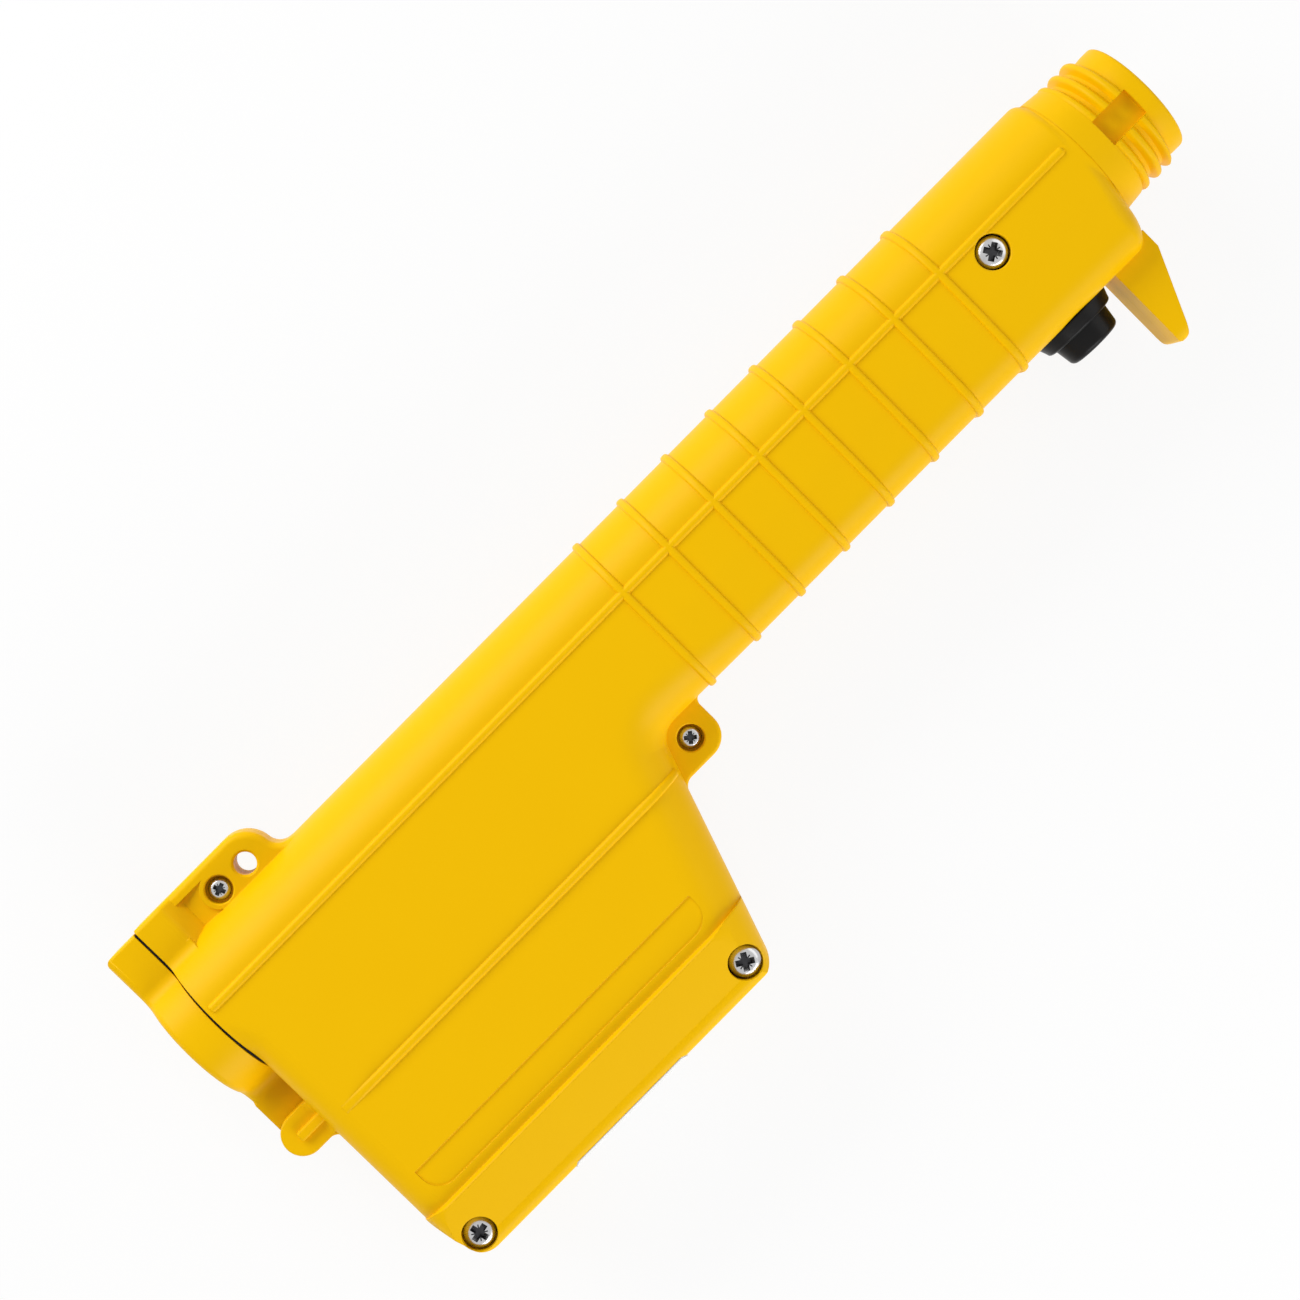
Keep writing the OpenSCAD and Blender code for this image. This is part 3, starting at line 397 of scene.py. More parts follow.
    @classmethod
    def rod(
        cls, name: str, axis: str, centre: Sequence[float], low: float, high: float, radius: float
    ) -> bpy.types.Object:
        """Makes a plain round rod.

        Args:
            name: Name of the new object.
            axis: Letter of the axis.
            centre: Point on the axis, in millimetres.
            low: Start along the axis, from that point.
            high: End along the axis.
            radius: Radius of the rod.

        Returns:
            The new object.
        """
        profile = [(low, 0), (low, radius), (high, radius), (high, 0)]
        return cls.turned(name, profile, axis, centre, HOLE_STEPS)

    @classmethod
    def combine(cls, body: bpy.types.Object, how: Join, *tools: bpy.types.Object) -> bpy.types.Object:
        """Combines a solid with others, which are used up.

        Args:
            body: Solid that is kept.
            how: Way to combine them.
            tools: Solids to combine it with, one after another.

        Returns:
            The kept solid.
        """
        for tool in tools:
            cls.shape(body, "BOOLEAN", operation=how.value, solver="MANIFOLD", object=tool)
            bpy.data.objects.remove(tool)
        return body

    @classmethod
    def soften(
        cls, thing: bpy.types.Object, width: float, steps: int, chosen: EdgeTest
    ) -> bpy.types.Object:
        """Bevels the chosen edges.

        Args:
            thing: Solid to soften.
            width: Width of the bevel in millimetres.
            steps: Number of steps over the bevel.
            chosen: Test that names the edges.

        Returns:
            The same solid.
        """
        with cls.editing(thing):
            bpy.ops.mesh.select_mode(type="EDGE")
            bpy.ops.mesh.select_all(action="DESELECT")
            mesh = bmesh.from_edit_mesh(thing.data)
            for edge in mesh.edges:
                edge.select_set(chosen(edge))
            bmesh.update_edit_mesh(thing.data)
            bpy.ops.mesh.bevel(
                offset=width * MM, offset_type="OFFSET", segments=steps, profile=0.5, affect="EDGES"
            )
            cls.tidy()
            bpy.ops.mesh.select_mode(type="VERT")
        return thing

    @classmethod
    def copy(cls, thing: bpy.types.Object, name: str, move: Matrix) -> bpy.types.Object:
        """Copies a solid with a mesh of its own.

        Args:
            thing: Solid to copy.
            name: Name of the copy.
            move: Change of place, in metres.

        Returns:
            The copy.
        """
        twin = bpy.data.objects.new(name, thing.data.copy())
        bpy.context.scene.collection.objects.link(twin)
        twin.data.transform(move)
        return twin

    @classmethod
    def smooth(cls, thing: bpy.types.Object, angle: float = 32) -> bpy.types.Object:
        """Shades a solid smooth up to an angle in degrees, with even normals over its flats.

        Args:
            thing: Solid to shade.
            angle: Largest angle that is shaded smooth.

        Returns:
            The same solid.
        """
        cls.hold(thing)
        bpy.ops.object.shade_smooth_by_angle(angle=math.radians(angle))
        return cls.shape(thing, "WEIGHTED_NORMAL", keep_sharp=True, weight=cls.flat_weight)


def feed(tree: bpy.types.NodeTree, slot: bpy.types.NodeSocket, value: "Value") -> None:
    """Links a number to an input, or sets a plain value on it.

    Args:
        tree: Node tree that the input is in.
        slot: Input to feed.
        value: Number, plain number or colour.
    """
    if isinstance(value, Number):
        tree.links.new(value.socket, slot)
    else:
        slot.default_value = value


class Number:
    """Socket of a shader node that takes part in sums."""

    def __init__(self, tree: bpy.types.NodeTree, socket: bpy.types.NodeSocket) -> None:
        """Wraps a socket.

        Args:
            tree: Node tree that the socket is in.
            socket: Output socket.
        """
        self.tree = tree
        self.socket = socket

    def _sum(self, kind: str, first: "Number | float", second: "Number | float") -> "Number":
        """Adds a maths node.

        Args:
            kind: Operation of the node.
            first: First value.
            second: Second value.

        Returns:
            The result.
        """
        node = self.tree.nodes.new("ShaderNodeMath")
        node.operation = kind
        for slot, value in zip(node.inputs, (first, second)):
            feed(self.tree, slot, value)
        return Number(self.tree, node.outputs[0])

    def __add__(self, other: "Number | float") -> "Number":
        """Adds."""
        return self._sum("ADD", self, other)

    def __radd__(self, other: float) -> "Number":
        """Adds to a plain number."""
        return self._sum("ADD", other, self)

    def __sub__(self, other: "Number | float") -> "Number":
        """Takes away."""
        return self._sum("SUBTRACT", self, other)

    def __rsub__(self, other: float) -> "Number":
        """Takes away from a plain number."""
        return self._sum("SUBTRACT", other, self)

    def __mul__(self, other: "Number | float") -> "Number":
        """Multiplies."""
        return self._sum("MULTIPLY", self, other)

    def __rmul__(self, other: float) -> "Number":
        """Multiplies a plain number."""
        return self._sum("MULTIPLY", other, self)

    def below(self, other: float) -> "Number":
        """Gives one where the value is below a limit, else nothing."""
        return self._sum("LESS_THAN", self, other)

    def least(self, other: float) -> "Number":
        """Keeps the lesser value."""
        return self._sum("MINIMUM", self, other)


Value = Number | float | Sequence[float]


class Graph:
    """Node tree of a material or of the sky."""

    def __init__(self, owner: bpy.types.Material | bpy.types.World) -> None:
        """Empties the node tree of its owner.

        Args:
            owner: Material or world that the tree belongs to.
        """
        self.owner = owner
        owner.use_nodes = True
        self.tree = owner.node_tree
        self.tree.nodes.clear()

    def node(
        self, kind: str, output: str, settings: dict[str, str] | None = None, **values: Value
    ) -> Number:
        """Adds a node.

        Args:
            kind: Type of the node, without its prefix.
            output: Name of the output to use.
            settings: Settings of the node itself.
            values: Values and links of its inputs, by name, with an underscore for a space, or by identifier.

        Returns:
            The wanted output.
        """
        node = self.tree.nodes.new(f"ShaderNode{kind}")
        for key, value in (settings or {}).items():
            setattr(node, key, value)
        for key, value in values.items():
            names = (key, key.replace("_", " "))
            slot = next(s for s in node.inputs if (s.identifier == key or s.name in names) and s.enabled)
            feed(self.tree, slot, value)
        return Number(self.tree, next(s for s in node.outputs if s.name == output and s.enabled))

    def place(self) -> Number:
        """Gives the place on the object, in metres."""
        return self.node("TexCoord", "Object")

    def noise(self, size: float, detail: float = 3.0) -> Number:
        """Gives even noise.

        Args:
            size: Size of its spots in millimetres.
            detail: Number of finer layers.

        Returns:
            Values about a half.
        """
        return self.node(
            "TexNoise", "Fac", Vector=self.place(), Scale=1 / (size * MM), Detail=detail, Roughness=0.55
        )

    def blend(self, share: Value, first: Value, second: Value) -> Number:
        """Mixes two colours.

        Args:
            share: Share of the second colour.
            first: Colour at a share of nothing.
            second: Colour at a share of one.

        Returns:
            The mixed colour.
        """
        return self.node("Mix", "Result", {"data_type": "RGBA"}, Factor=share, A=first, B=second)

    def seen(self) -> Number:
        """Gives one for light on its way to the camera, straight, mirrored or through glass."""
        straight, mirror, glass = (
            self.node("LightPath", f"Is {kind} Ray") for kind in ("Camera", "Glossy", "Transmission")
        )
        return (straight + mirror + glass).least(1.0)

    def bump(self, height: Number, depth: float, edge: float = 0.0) -> Number:
        """Gives a rough normal.

        Args:
            height: Height of the surface, from nothing to one.
            depth: Depth of the roughness in millimetres.
            edge: Radius that sharp edges look rounded by, in millimetres.

        Returns:
            The normal.
        """
        values: dict[str, Value] = {"Height": height, "Distance": depth * MM, "Strength": 1.0}
        if edge:
            values["Normal"] = self.node("Bevel", "Normal", {"samples": 6}, Radius=edge * MM)
        return self.node("Bump", "Normal", None, **values)

    def surface(self, **values: Value) -> bpy.types.Material:
        """Ends the tree with a surface.

        Args:
            values: Values and links of the surface's inputs.

        Returns:
            The material.
        """
        return self.end(self.node("BsdfPrincipled", "BSDF", None, **values))

    def end(self, shader: Number) -> bpy.types.Material | bpy.types.World:
        """Ends the tree with a shader.

        Args:
            shader: Shader of the surface or of the sky.

        Returns:
            The owner of the tree.
        """
        out = self.tree.nodes.new(f"ShaderNodeOutput{type(self.owner).__name__}")
        self.tree.links.new(shader.socket, out.inputs["Surface"])
        return self.owner


def solid(colour: Colour) -> tuple[float, float, float, float]:
    """Adds full cover to a colour."""
    return (*colour, 1.0)


@dataclass(frozen=True)
class Plastic:
    """Moulded plastic with a faint grain.

    Attributes:
        name: Name of the material.
        colour: Main colour.
        warm: Colour of its faint clouds.
        gloss: Mean roughness.
        grain: Depth of the grain in millimetres.
        edge: Radius that sharp edges look rounded by, in millimetres.
        shine: Strength of the mirror light.
        cloud: Size of the clouds in millimetres.
        fleck: Size of the grain's flecks.
        mark: Size of the handling marks.
    """

    name: str
    colour: Colour
    warm: Colour
    gloss: float
    grain: float = 0.02
    edge: float = 0.0
    shine: float = 0.5
    cloud: float = 38.0
    fleck: float = 0.55
    mark: float = 6.0

    def make(self) -> bpy.types.Material:
        """Builds the material."""
        graph = Graph(bpy.data.materials.new(self.name))
        clouds = graph.noise(self.cloud, 2)
        fine = graph.noise(self.fleck, 2)
        marks = graph.noise(self.mark, 4)
        return graph.surface(
            Base_Color=graph.blend(clouds * 0.9, solid(self.colour), solid(self.warm)),
            Roughness=self.gloss - 0.06 + marks * 0.08 + fine * 0.05,
            Normal=graph.bump(fine * 0.7 + marks * 0.3, self.grain, self.edge),
            IOR=1.48,
            Specular_IOR_Level=self.shine,
        )


@dataclass(frozen=True)
class Metal:
    """Bare or plated metal with turning marks.

    Attributes:
        name: Name of the material.
        colour: Main colour.
        dull: Colour of its dull spots.
        gloss: Mean roughness.
        grain: Depth of the marks in millimetres.
        spot: Size of the dull spots.
        mark: Size of the marks.
    """

    name: str
    colour: Colour
    dull: Colour
    gloss: float
    grain: float = 0.01
    spot: float = 1.6
    mark: float = 0.25

    def make(self) -> bpy.types.Material:
        """Builds the material."""
        graph = Graph(bpy.data.materials.new(self.name))
        spots = graph.noise(self.spot, 3)
        fine = graph.noise(self.mark, 2)
        return graph.surface(
            Base_Color=graph.blend(spots, solid(self.colour), solid(self.dull)),
            Metallic=1.0,
            Roughness=self.gloss - 0.08 + spots * 0.12 + fine * 0.06,
            Normal=graph.bump(fine, self.grain),
        )


@dataclass(frozen=True)
class Board:
    """Green board with copper lines under the varnish.

    Attributes:
        name: Name of the material.
        green: Colour of the varnish.
        line: Colour over the copper.
        count: Number of copper fields in a metre.
        wide: Share of a field that is line.
        grain: Depth of the grain in millimetres.
        fleck: Size of the grain's flecks.
    """

    name: str = "board_green"
    green: Colour = (0.012, 0.10, 0.035)
    line: Colour = (0.04, 0.22, 0.07)
    count: float = 160.0
    wide: float = 0.07
    grain: float = 0.01
    fleck: float = 0.4

    def make(self) -> bpy.types.Material:
        """Builds the material."""
        graph = Graph(bpy.data.materials.new(self.name))
        cells = graph.node(
            "TexVoronoi", "Distance", {"feature": "DISTANCE_TO_EDGE"}, Vector=graph.place(), Scale=self.count
        )
        lines = cells.below(self.wide)
        fine = graph.noise(self.fleck, 2)
        return graph.surface(
            Base_Color=graph.blend(lines * 0.5 + fine * 0.2, solid(self.green), solid(self.line)),
            Roughness=0.3 + fine * 0.15,
            Normal=graph.bump(fine, self.grain),
        )


@dataclass(frozen=True)
class Winding:
    """Turns of lacquered wire.

    Attributes:
        name: Name of the material.
        copper: Colour of the wire.
        gap: Colour between the turns.
        count: Scale of the bands that the turns make.
        depth: Depth between the turns in millimetres.
    """

    name: str = "winding_copper"
    copper: Colour = (0.45, 0.16, 0.05)
    gap: Colour = (0.16, 0.05, 0.015)
    count: float = 380.0
    depth: float = 0.12

    def make(self) -> bpy.types.Material:
        """Builds the material."""
        graph = Graph(bpy.data.materials.new(self.name))
        turns = graph.node(
            "TexWave", "Fac", {"wave_type": "BANDS", "bands_direction": "Y"},
            Vector=graph.place(), Scale=self.count, Distortion=0.6, Detail=1.0,
        )
        return graph.surface(
            Base_Color=graph.blend(turns, solid(self.gap), solid(self.copper)),
            Metallic=0.6,
            Roughness=0.55 - turns * 0.2,
            Normal=graph.bump(turns, self.depth),
        )


@dataclass
class Finishes:
    """All materials of the handle, by the slots of the record."""

    made: dict[str, bpy.types.Material] = field(default_factory=dict)

    def build(self) -> None:
        """Builds every finish."""
        kinds = (
            Plastic(
                "case_yellow", (0.87, 0.505, 0.0), (0.85, 0.475, 0.0), gloss=0.38, edge=0.3, shine=0.08,
            ),
            Plastic(
                "button_black", (0.004, 0.004, 0.004), (0.008, 0.007, 0.007),
                gloss=0.32, grain=0.015, edge=0.15, shine=0.14,
            ),
            Plastic(
                "rubber_black", (0.003, 0.003, 0.003), (0.005, 0.005, 0.005),
                gloss=0.8, grain=0.03, shine=0.2,
            ),
            Metal("zinc_steel", (0.60, 0.60, 0.60), (0.40, 0.40, 0.41), gloss=0.24),
            # Near-black steel that paints the shade inside the screws' cross recesses.
            Metal("recess_painted_shade", (0.07, 0.07, 0.075), (0.025, 0.025, 0.027), gloss=0.3),
            Metal("spring_steel", (0.55, 0.55, 0.56), (0.42, 0.42, 0.43), gloss=0.3),
            Metal("contact_brass", (0.75, 0.53, 0.22), (0.58, 0.38, 0.14), gloss=0.28),
            Plastic("cell_jacket", (0.05, 0.055, 0.065), (0.03, 0.032, 0.04), gloss=0.3, grain=0.01),
            Board(),
            Plastic("core_grey", (0.06, 0.06, 0.062), (0.04, 0.04, 0.042), gloss=0.6, grain=0.05),
            Winding(),
            Plastic("component_dark", (0.012, 0.014, 0.02), (0.02, 0.022, 0.03), gloss=0.4),
            Plastic("insulator_grey", (0.10, 0.10, 0.10), (0.07, 0.07, 0.07), gloss=0.5),
            Plastic("lead_red", (0.42, 0.012, 0.010), (0.34, 0.008, 0.008), gloss=0.42),
            Plastic("lead_black", (0.014, 0.014, 0.014), (0.02, 0.02, 0.02), gloss=0.45),
            Plastic("label_white", (0.78, 0.78, 0.76), (0.72, 0.72, 0.70), gloss=0.34, grain=0.008),
        )
        for kind in kinds:
            self.made[kind.name] = kind.make()

    def dress(self, thing: bpy.types.Object, slot: str) -> bpy.types.Object:
        """Gives a piece its finish.

        Args:
            thing: Piece to dress.
            slot: Name of the finish.

        Returns:
            The same piece.
        """
        thing.data.materials.clear()
        thing.data.materials.append(self.made[slot])
        return thing

    def hand_over(
        self, thing: bpy.types.Object, slot: str, body: str, *nodes: str
    ) -> bpy.types.Object:
        """Dresses a new piece and puts it in the place of solid ones.

        Args:
            thing: New piece.
            slot: Name of its finish.
            body: Body that it rides on.
            nodes: Nodes that it replaces.

        Returns:
            The same piece.
        """
        self.dress(thing, slot)
        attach(thing, body)
        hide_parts(*nodes)
        LOG.info("%s: %d faces, for %s", thing.name, len(thing.data.polygons), ", ".join(nodes))
        return thing


@dataclass
class Case:
    """The yellow case of two halves.

    Attributes are sizes in millimetres and angles in degrees; names follow the shape from the nose to
    the door.
    """

    shoulder_x: float = SHOULDER_X
    rear_x: float = -306.5
    top: float = 19.0
    half_t: float = 17.5
    drop: float = 25.9
    edge_r: float = 8.5
    taper: float = 0.9
    taper_y: float = 8.0
    blend_x: float = -150.0
    shoulder_r: float = 2.6
    chin_y: float = -2.0
    chin_run: float = 16.0
    chin_r: float = 5.5
    chin_slope: float = 0.2
    neck_r: float = 17.6
    neck_lap: float = 0.15
    mouth_r: float = 12.0
    wall: float = 2.6
    front_wall: float = 4.0
    rear_wall: float = 3.6
    rib_first: float = -65.5
    rib_pitch: float = 14.85
    rib_count: int = 8
    rib_h: float = 0.8
    rib_w: float = 2.1
    rib_edge: float = 0.75
    upper_rib_y: float = 4.2
    upper_rib_ends: Point = (1.0, 3.2)
    upper_rib_edge: float = 0.7
    upper_rib_half: tuple[Point, ...] = ((0.0, 0.0), (0.45, 0.08), (0.8, 0.3), (1.02, 0.7), (1.1, 2.2))
    low_rib_y: float = -34.2
    low_rib_ends: Point = (6.0, 3.9)
    low_rib_half: tuple[Point, ...] = ((0.0, 0.0), (0.5, 0.1), (0.85, 0.35), (1.1, 0.75), (1.1, 2.3))
    low_rib_steps: int = 40
    low_rib_fade: float = 1.5
    box_front_x: float = -186.6
    lean: float = 19.2
    box_drop: float = 83.0
    toe: Point = LARGE_SEATS[2].place
    toe_r: float = 6.0
    heel: Point = (-298.0, -77.0)
    heel_r: float = 6.0
    heel_y: float = -66.0
    band_y: float = -66.4
    band_rise: float = 1.5
    band_step: tuple[Point, ...] = ((1.0, -1.8), (-0.05, -1.3), (-0.54, -0.25), (-0.93, 0.0))
    band_edge_t: float = 15.5
    band_edge_r: float = 3.0
    front_roll: float = 12.5
    front_ease: float = 0.1
    rear_roll: float = 7.0
    rear_soft: float = 4.0
    corner_r: float = 6.0
    corner_reach: float = 20.0
    panel_y: Point = (-64.0, -56.2)
    panel_ends: Point = (7.0, 9.0)
    panel_r: float = 5.5
    panel_depth: float = 0.35
    ear_top: float = 29.6
    ear_foot_y: float = 12.0
    ear_r: float = 7.6
    ear_fillet_r: float = 4.0
    ear_fillet_end: float = 268.0
    ear_run: float = 3.0
    ear_sunk: float = 0.6
    ear_t: float = 5.3
    ear_edge: float = 1.7
    ear_edge_y: float = 18.2
    ear_roof: float = 2.9
    lanyard: Point = (-277.2, 22.2)
    lanyard_r: float = 2.75
    lip_w: float = 0.6
    lip_depth: float = 0.5
    pocket_t: float = 3.0
    pocket_end: float = 1.0
    boss_r: float = 4.7
    block_l: float = 8.5
    block_t: float = 8.2
    block_foot_y: float = 8.0
    block_edge: float = 1.3
    block_knee_t: float = 6.0
    slope_lead: float = 0.6
    slope_l: float = 4.6
    slope_sunk: float = 0.2
    saddle_r: float = 4.0
    saddle_foot: float = 8.0
    saddle_short: float = 0.4
    tab_low: float = -38.6
    tab_front: float = -175.3
    tab_rear: float = 8.0
    tab_r: float = 6.0
    tab_foot_r: float = 3.0
    tab_fillet_r: float = 2.0
    tab_fillet_end: float = 92.0
    tab_edge: float = 0.9
    tab_t: float = 4.5
    guard_x: float = -35.0
    guard_low: float = -48.6
    guard_t: float = 9.0
    guard_edge_r: float = 3.5
    guard_point_r: float = 1.8
    guard_base: Point = (-22.9, -25.9)
    guard_knee: float = 2.2
    lug_r: float = 5.3
    lug_in: float = 3.9
    lug_out: float = 8.5
    lug_sunk: float = 1.0
    lug_foot_r: float = 2.6
    lug_edge: float = 0.6
    lug_edge_end: float = 0.2
    lug_rib_h: float = 1.5
    lug_rib_w: float = 2.5
    lug_fillet_r: float = 2.0
    lug_fillet_short: float = 0.3
    pin_half_l: float = 7.4
    hollow_gap: float = 0.1
    hollow_top: float = -1.0
    hollow_roll: tuple[Point, Point] = ((-12.5, 0.1), (-2.4, -10.9))
    band_hollow_in: Point = (2.5, 2.0)
    cell_bore_r: float = 13.5
    nose_bore_r: float = 12.75
    nose_bore: Point = (-5.0, 1.0)
    flange_seat_r: float = 14.6
    flange_seat: Point = (-6.0, -3.0)
    strip_way: Point = (-14.6, -12.9)
    strip_half_w: float = 3.3
    tongue_slot: Point = (20.7, 25.4)
    tongue_half_w: float = 3.8
    tongue_l: float = 8.2
    switch_hole: Point = (-27.0, -20.0)
    switch_hole_r: float = 9.35
    rim_edge: float = 0.25
    rim_over: float = 0.3
    parting: float = 0.03

    @property
    def crown(self) -> float:
        """Height of the middle of the round top."""
        return self.top - self.half_t

    def front_at(self, y: float) -> float:
        """Gives the X of the front edge of the box at a height."""
        return self.box_front_x + (y + self.drop) * math.tan(math.radians(self.lean))

    def hollow_corner(self, y: float, radius: float) -> tuple[Point, list[Point]]:
        """Gives a hollow corner between a level underside and the leaning front of the box.

        Args:
            y: Height of the underside.
            radius: Radius of the corner.

        Returns:
            The centre, and the arc from the underside down to the front.
        """
        reach = radius / math.tan(math.radians(90 + self.lean) / 2)
        centre = (self.front_at(y) + reach, y - radius)
        return centre, arc(centre, radius, 90, 180 - self.lean, 12)

    def grip_end(self) -> float:
        """Gives the X where the grip has filled out to the box."""
        return self.hollow_corner(-self.drop, self.corner_r)[0][0]

    def section(self, x: float) -> list[Point]:
        """Gives the cross section of the grip, which fills out towards the box.

        Args:
            x: Place along the grip.

        Returns:
            Its points, as Y and Z.
        """
        share = ease((self.blend_x - x) / (self.blend_x - self.grip_end()))
        radius = self.edge_r + (self.front_roll - self.edge_r) * share
        full, flat = self.half_t, self.half_t - self.taper * (1 - share)
        crown, knee, low = self.crown, -self.taper_y, radius - self.drop
        half = arc((crown, 0), full, 0, 90, 30)
        half += [(crown + (knee - crown) * i / 8, full) for i in range(1, 9)]
        half += [(knee + (low - knee) * i / 5, full + (flat - full) * i / 5) for i in range(1, 5)]
        half += arc((low, flat - radius), radius, 90, 180, 16)
        return mirrored(half)[1:]

    def rear_section(self, x: float) -> list[Point]:
        """Gives the cross section near the door, where the flanks bend in to the tube of the cells.

        Args:
            x: Place along the grip.

        Returns:
            Its points, as Y and Z.
        """
        roll = self.rear_roll
        flank = self.half_t - roll + math.sqrt(roll ** 2 - max(0.0, self.rear_x + roll - x) ** 2)
        points = []
        for y, z in self.section(x):
            if y < self.crown:
                tube = math.sqrt(max(0.0, self.half_t ** 2 - (y - self.crown) ** 2))
                near = max(0.0, 1 - abs(tube - flank) / self.rear_soft)
                limit = max(tube, flank) + self.rear_soft * near * near / 4
                z = math.copysign(min(abs(z), limit), z)
            points.append((y, z))
        return points

    def shoulder(self) -> list[list[Vector]]:
        """Gives the rings that round the front of the grip into the neck and the chin."""
        outline = self.section(self.shoulder_x)
        shares = [ease((self.chin_y - y) / self.chin_run) for y, _ in outline]
        radii = [self.shoulder_r + (self.chin_r - self.shoulder_r) * share for share in shares]
        rings = []
        for step in range(9):
            turn = math.radians(90 * step / 8)
            moved = grown(outline, [-r * (1 - math.cos(turn)) for r in radii])
            ring = []
            for (y, z), (v, w), r, share in zip(outline, moved, radii, shares):
                least = min(self.neck_r, math.hypot(y, z))
                scale = max(1.0, least / math.hypot(v, w))
                depth = math.hypot(v, w) * scale - self.neck_r
                chin = self.chin_slope * share * max(0.0, depth) * math.sin(turn)
                x = self.shoulder_x - r * (1 - math.sin(turn)) - chin
                ring.append(Vector((x, v * scale, w * scale)) * MM)
            rings.append(ring)
        rays = [Vector((0, p.y, p.z)).normalized() for p in rings[-1]]
        for radius in (self.neck_r - self.neck_lap, self.mouth_r):
            rings.append([(ray * radius + Vector((self.shoulder_x, 0, 0))) * MM for ray in rays])
        return rings

    def grip(self) -> bpy.types.Object:
        """Makes the grip with its rounded shoulder."""
        end = self.grip_end()
        rear = [self.rear_x + self.rear_roll * (1 - math.cos(math.radians(10 * i))) for i in range(10)]
        places = [end + (self.blend_x - end) * i / 10 for i in range(11)]
        sections = [(x, self.rear_section(x)) for x in rear] + [(x, self.section(x)) for x in places]
        rings = [[Plane.SECTION.place(u, v, x) for u, v in outline] for x, outline in sections]
        return Bench.loft("grip", rings + self.shoulder())

    def cross_ribs(self) -> list[bpy.types.Object]:
        """Makes the rounded ribs round the grip."""
        made = []
        for k in range(self.rib_count):
            x = self.rib_first - k * self.rib_pitch
            outline = grown(self.section(x), self.rib_h)
            rib = Bench.prism("rib", outline, Plane.SECTION, x - self.rib_w / 2, x + self.rib_w / 2)
            made.append(Bench.soften(rib, self.rib_edge, 4, sharp))
        return made

    @staticmethod
    def both_sides(rib: bpy.types.Object) -> list[bpy.types.Object]:
        """Adds the mirror image of a rib of the right side.

        Args:
            rib: Rib of the right side.

        Returns:
            The ribs of the right and the left side.
        """
        twin = Bench.copy(rib, rib.name, Matrix.Diagonal((1, 1, -1, 1)))
        twin.data.flip_normals()
        return [rib, twin]

    def upper_ribs(self) -> list[bpy.types.Object]:
        """Makes the half round ribs along both sides of the grip."""
        y = self.upper_rib_y
        top = math.sqrt(self.half_t ** 2 - (y - self.crown) ** 2) + self.rib_h
        outline = [(y + u, top - v) for u, v in both_ways(self.upper_rib_half)]
        ends = (self.rear_x + self.upper_rib_ends[0], self.shoulder_x - self.upper_rib_ends[1])
        rib = Bench.prism("upper_rib", outline, Plane.SECTION, *ends)

        def rounded(edge: bmesh.types.BMEdge) -> bool:
            """Tells whether an edge is at an end of the rib and near its crest."""
            return sharp(edge) and box_round(edge)[1].z > top - 1

        return self.both_sides(Bench.soften(rib, self.upper_rib_edge, 3, rounded))

    def low_ribs(self) -> list[bpy.types.Object]:
        """Makes the half round ribs along the box, which bend with its soft front edge."""
        profile = [(u, self.rib_h - v) for u, v in both_ways(self.low_rib_half)]
        rear = self.rear_x + self.low_rib_ends[0]
        front = self.box_front_x - self.low_rib_ends[1]
        y, roll, steps = self.low_rib_y, self.front_roll, self.low_rib_steps
        lean = math.radians(self.lean)
        rings = []
        for step in range(steps + 1):
            x = rear + (front - rear) * (1 - (1 - step / steps) ** 2)
            into = min(roll, (self.front_at(y) - x) * math.cos(lean))
            turn = math.asin(1 - into / roll)
            ahead = math.sin(turn)
            out = Vector((ahead * math.cos(lean), -ahead * math.sin(lean), math.cos(turn)))
            foot = Vector((x, y, self.half_t - roll * (1 - math.cos(turn))))
            fade = min(1.0, step / self.low_rib_fade, (steps - step) / self.low_rib_fade)
            rings.append([
                (foot + Vector((0, u, 0)) + out * (v if v < 0 else v * fade)) * MM for u, v in profile
            ])
        return self.both_sides(Bench.loft("low_rib", rings))

    def outline(self, top: float) -> list[Point]:
        """Gives the side view of the box below a height.

        Args:
            top: Height that it is cut at.

        Returns:
            Its points, as X and Y.
        """
        points = [(self.rear_x, top)]
        if top > self.heel_y:
            points.append((self.rear_x, self.heel_y))
        points += arc(self.heel, self.heel_r, 180, 270, 10)
        points += arc(self.toe, self.toe_r, 270, 360 - self.lean, 10)
        return points + [(self.front_at(top), top)]

    def leaning(self, name: str, half: Sequence[Point]) -> bpy.types.Object:
        """Pushes half a plan into a tall solid that leans with the front edge of the box.

        Args:
            name: Name of the solid.
            half: Half of its plan, with places along X that count from that edge.

        Returns:
            The solid.
        """
        tall = Bench.prism(name, mirrored(half), Plane.PLAN, -FAR, FAR)
        place = Matrix.Translation((self.box_front_x * MM, -self.drop * MM, 0))
        tall.data.transform(place @ Matrix.Rotation(-math.radians(self.lean), 4, "Z"))
        return tall

    def rolls(self, half_t: float) -> list[bpy.types.Object]:
        """Makes the solids that round the front and rear edges of the box.

        Args:
            half_t: Half thickness that the rounds run into.

        Returns:
            The solids to cut the box down to.
        """
        roll, back = self.front_roll, self.rear_roll
        front = [(-FAR, half_t)] + arc((self.front_ease - roll, half_t - roll), roll, 90, 0, 20)
        rear = [(self.front_at(0) + PAST, half_t)]
        rear += arc((self.rear_x + back, half_t - back), back, 90, 180, 14)
        behind = Bench.prism("rear_roll", mirrored(rear), Plane.PLAN, -self.box_drop - PAST, PAST)
        return [self.leaning("front_roll", front), behind]

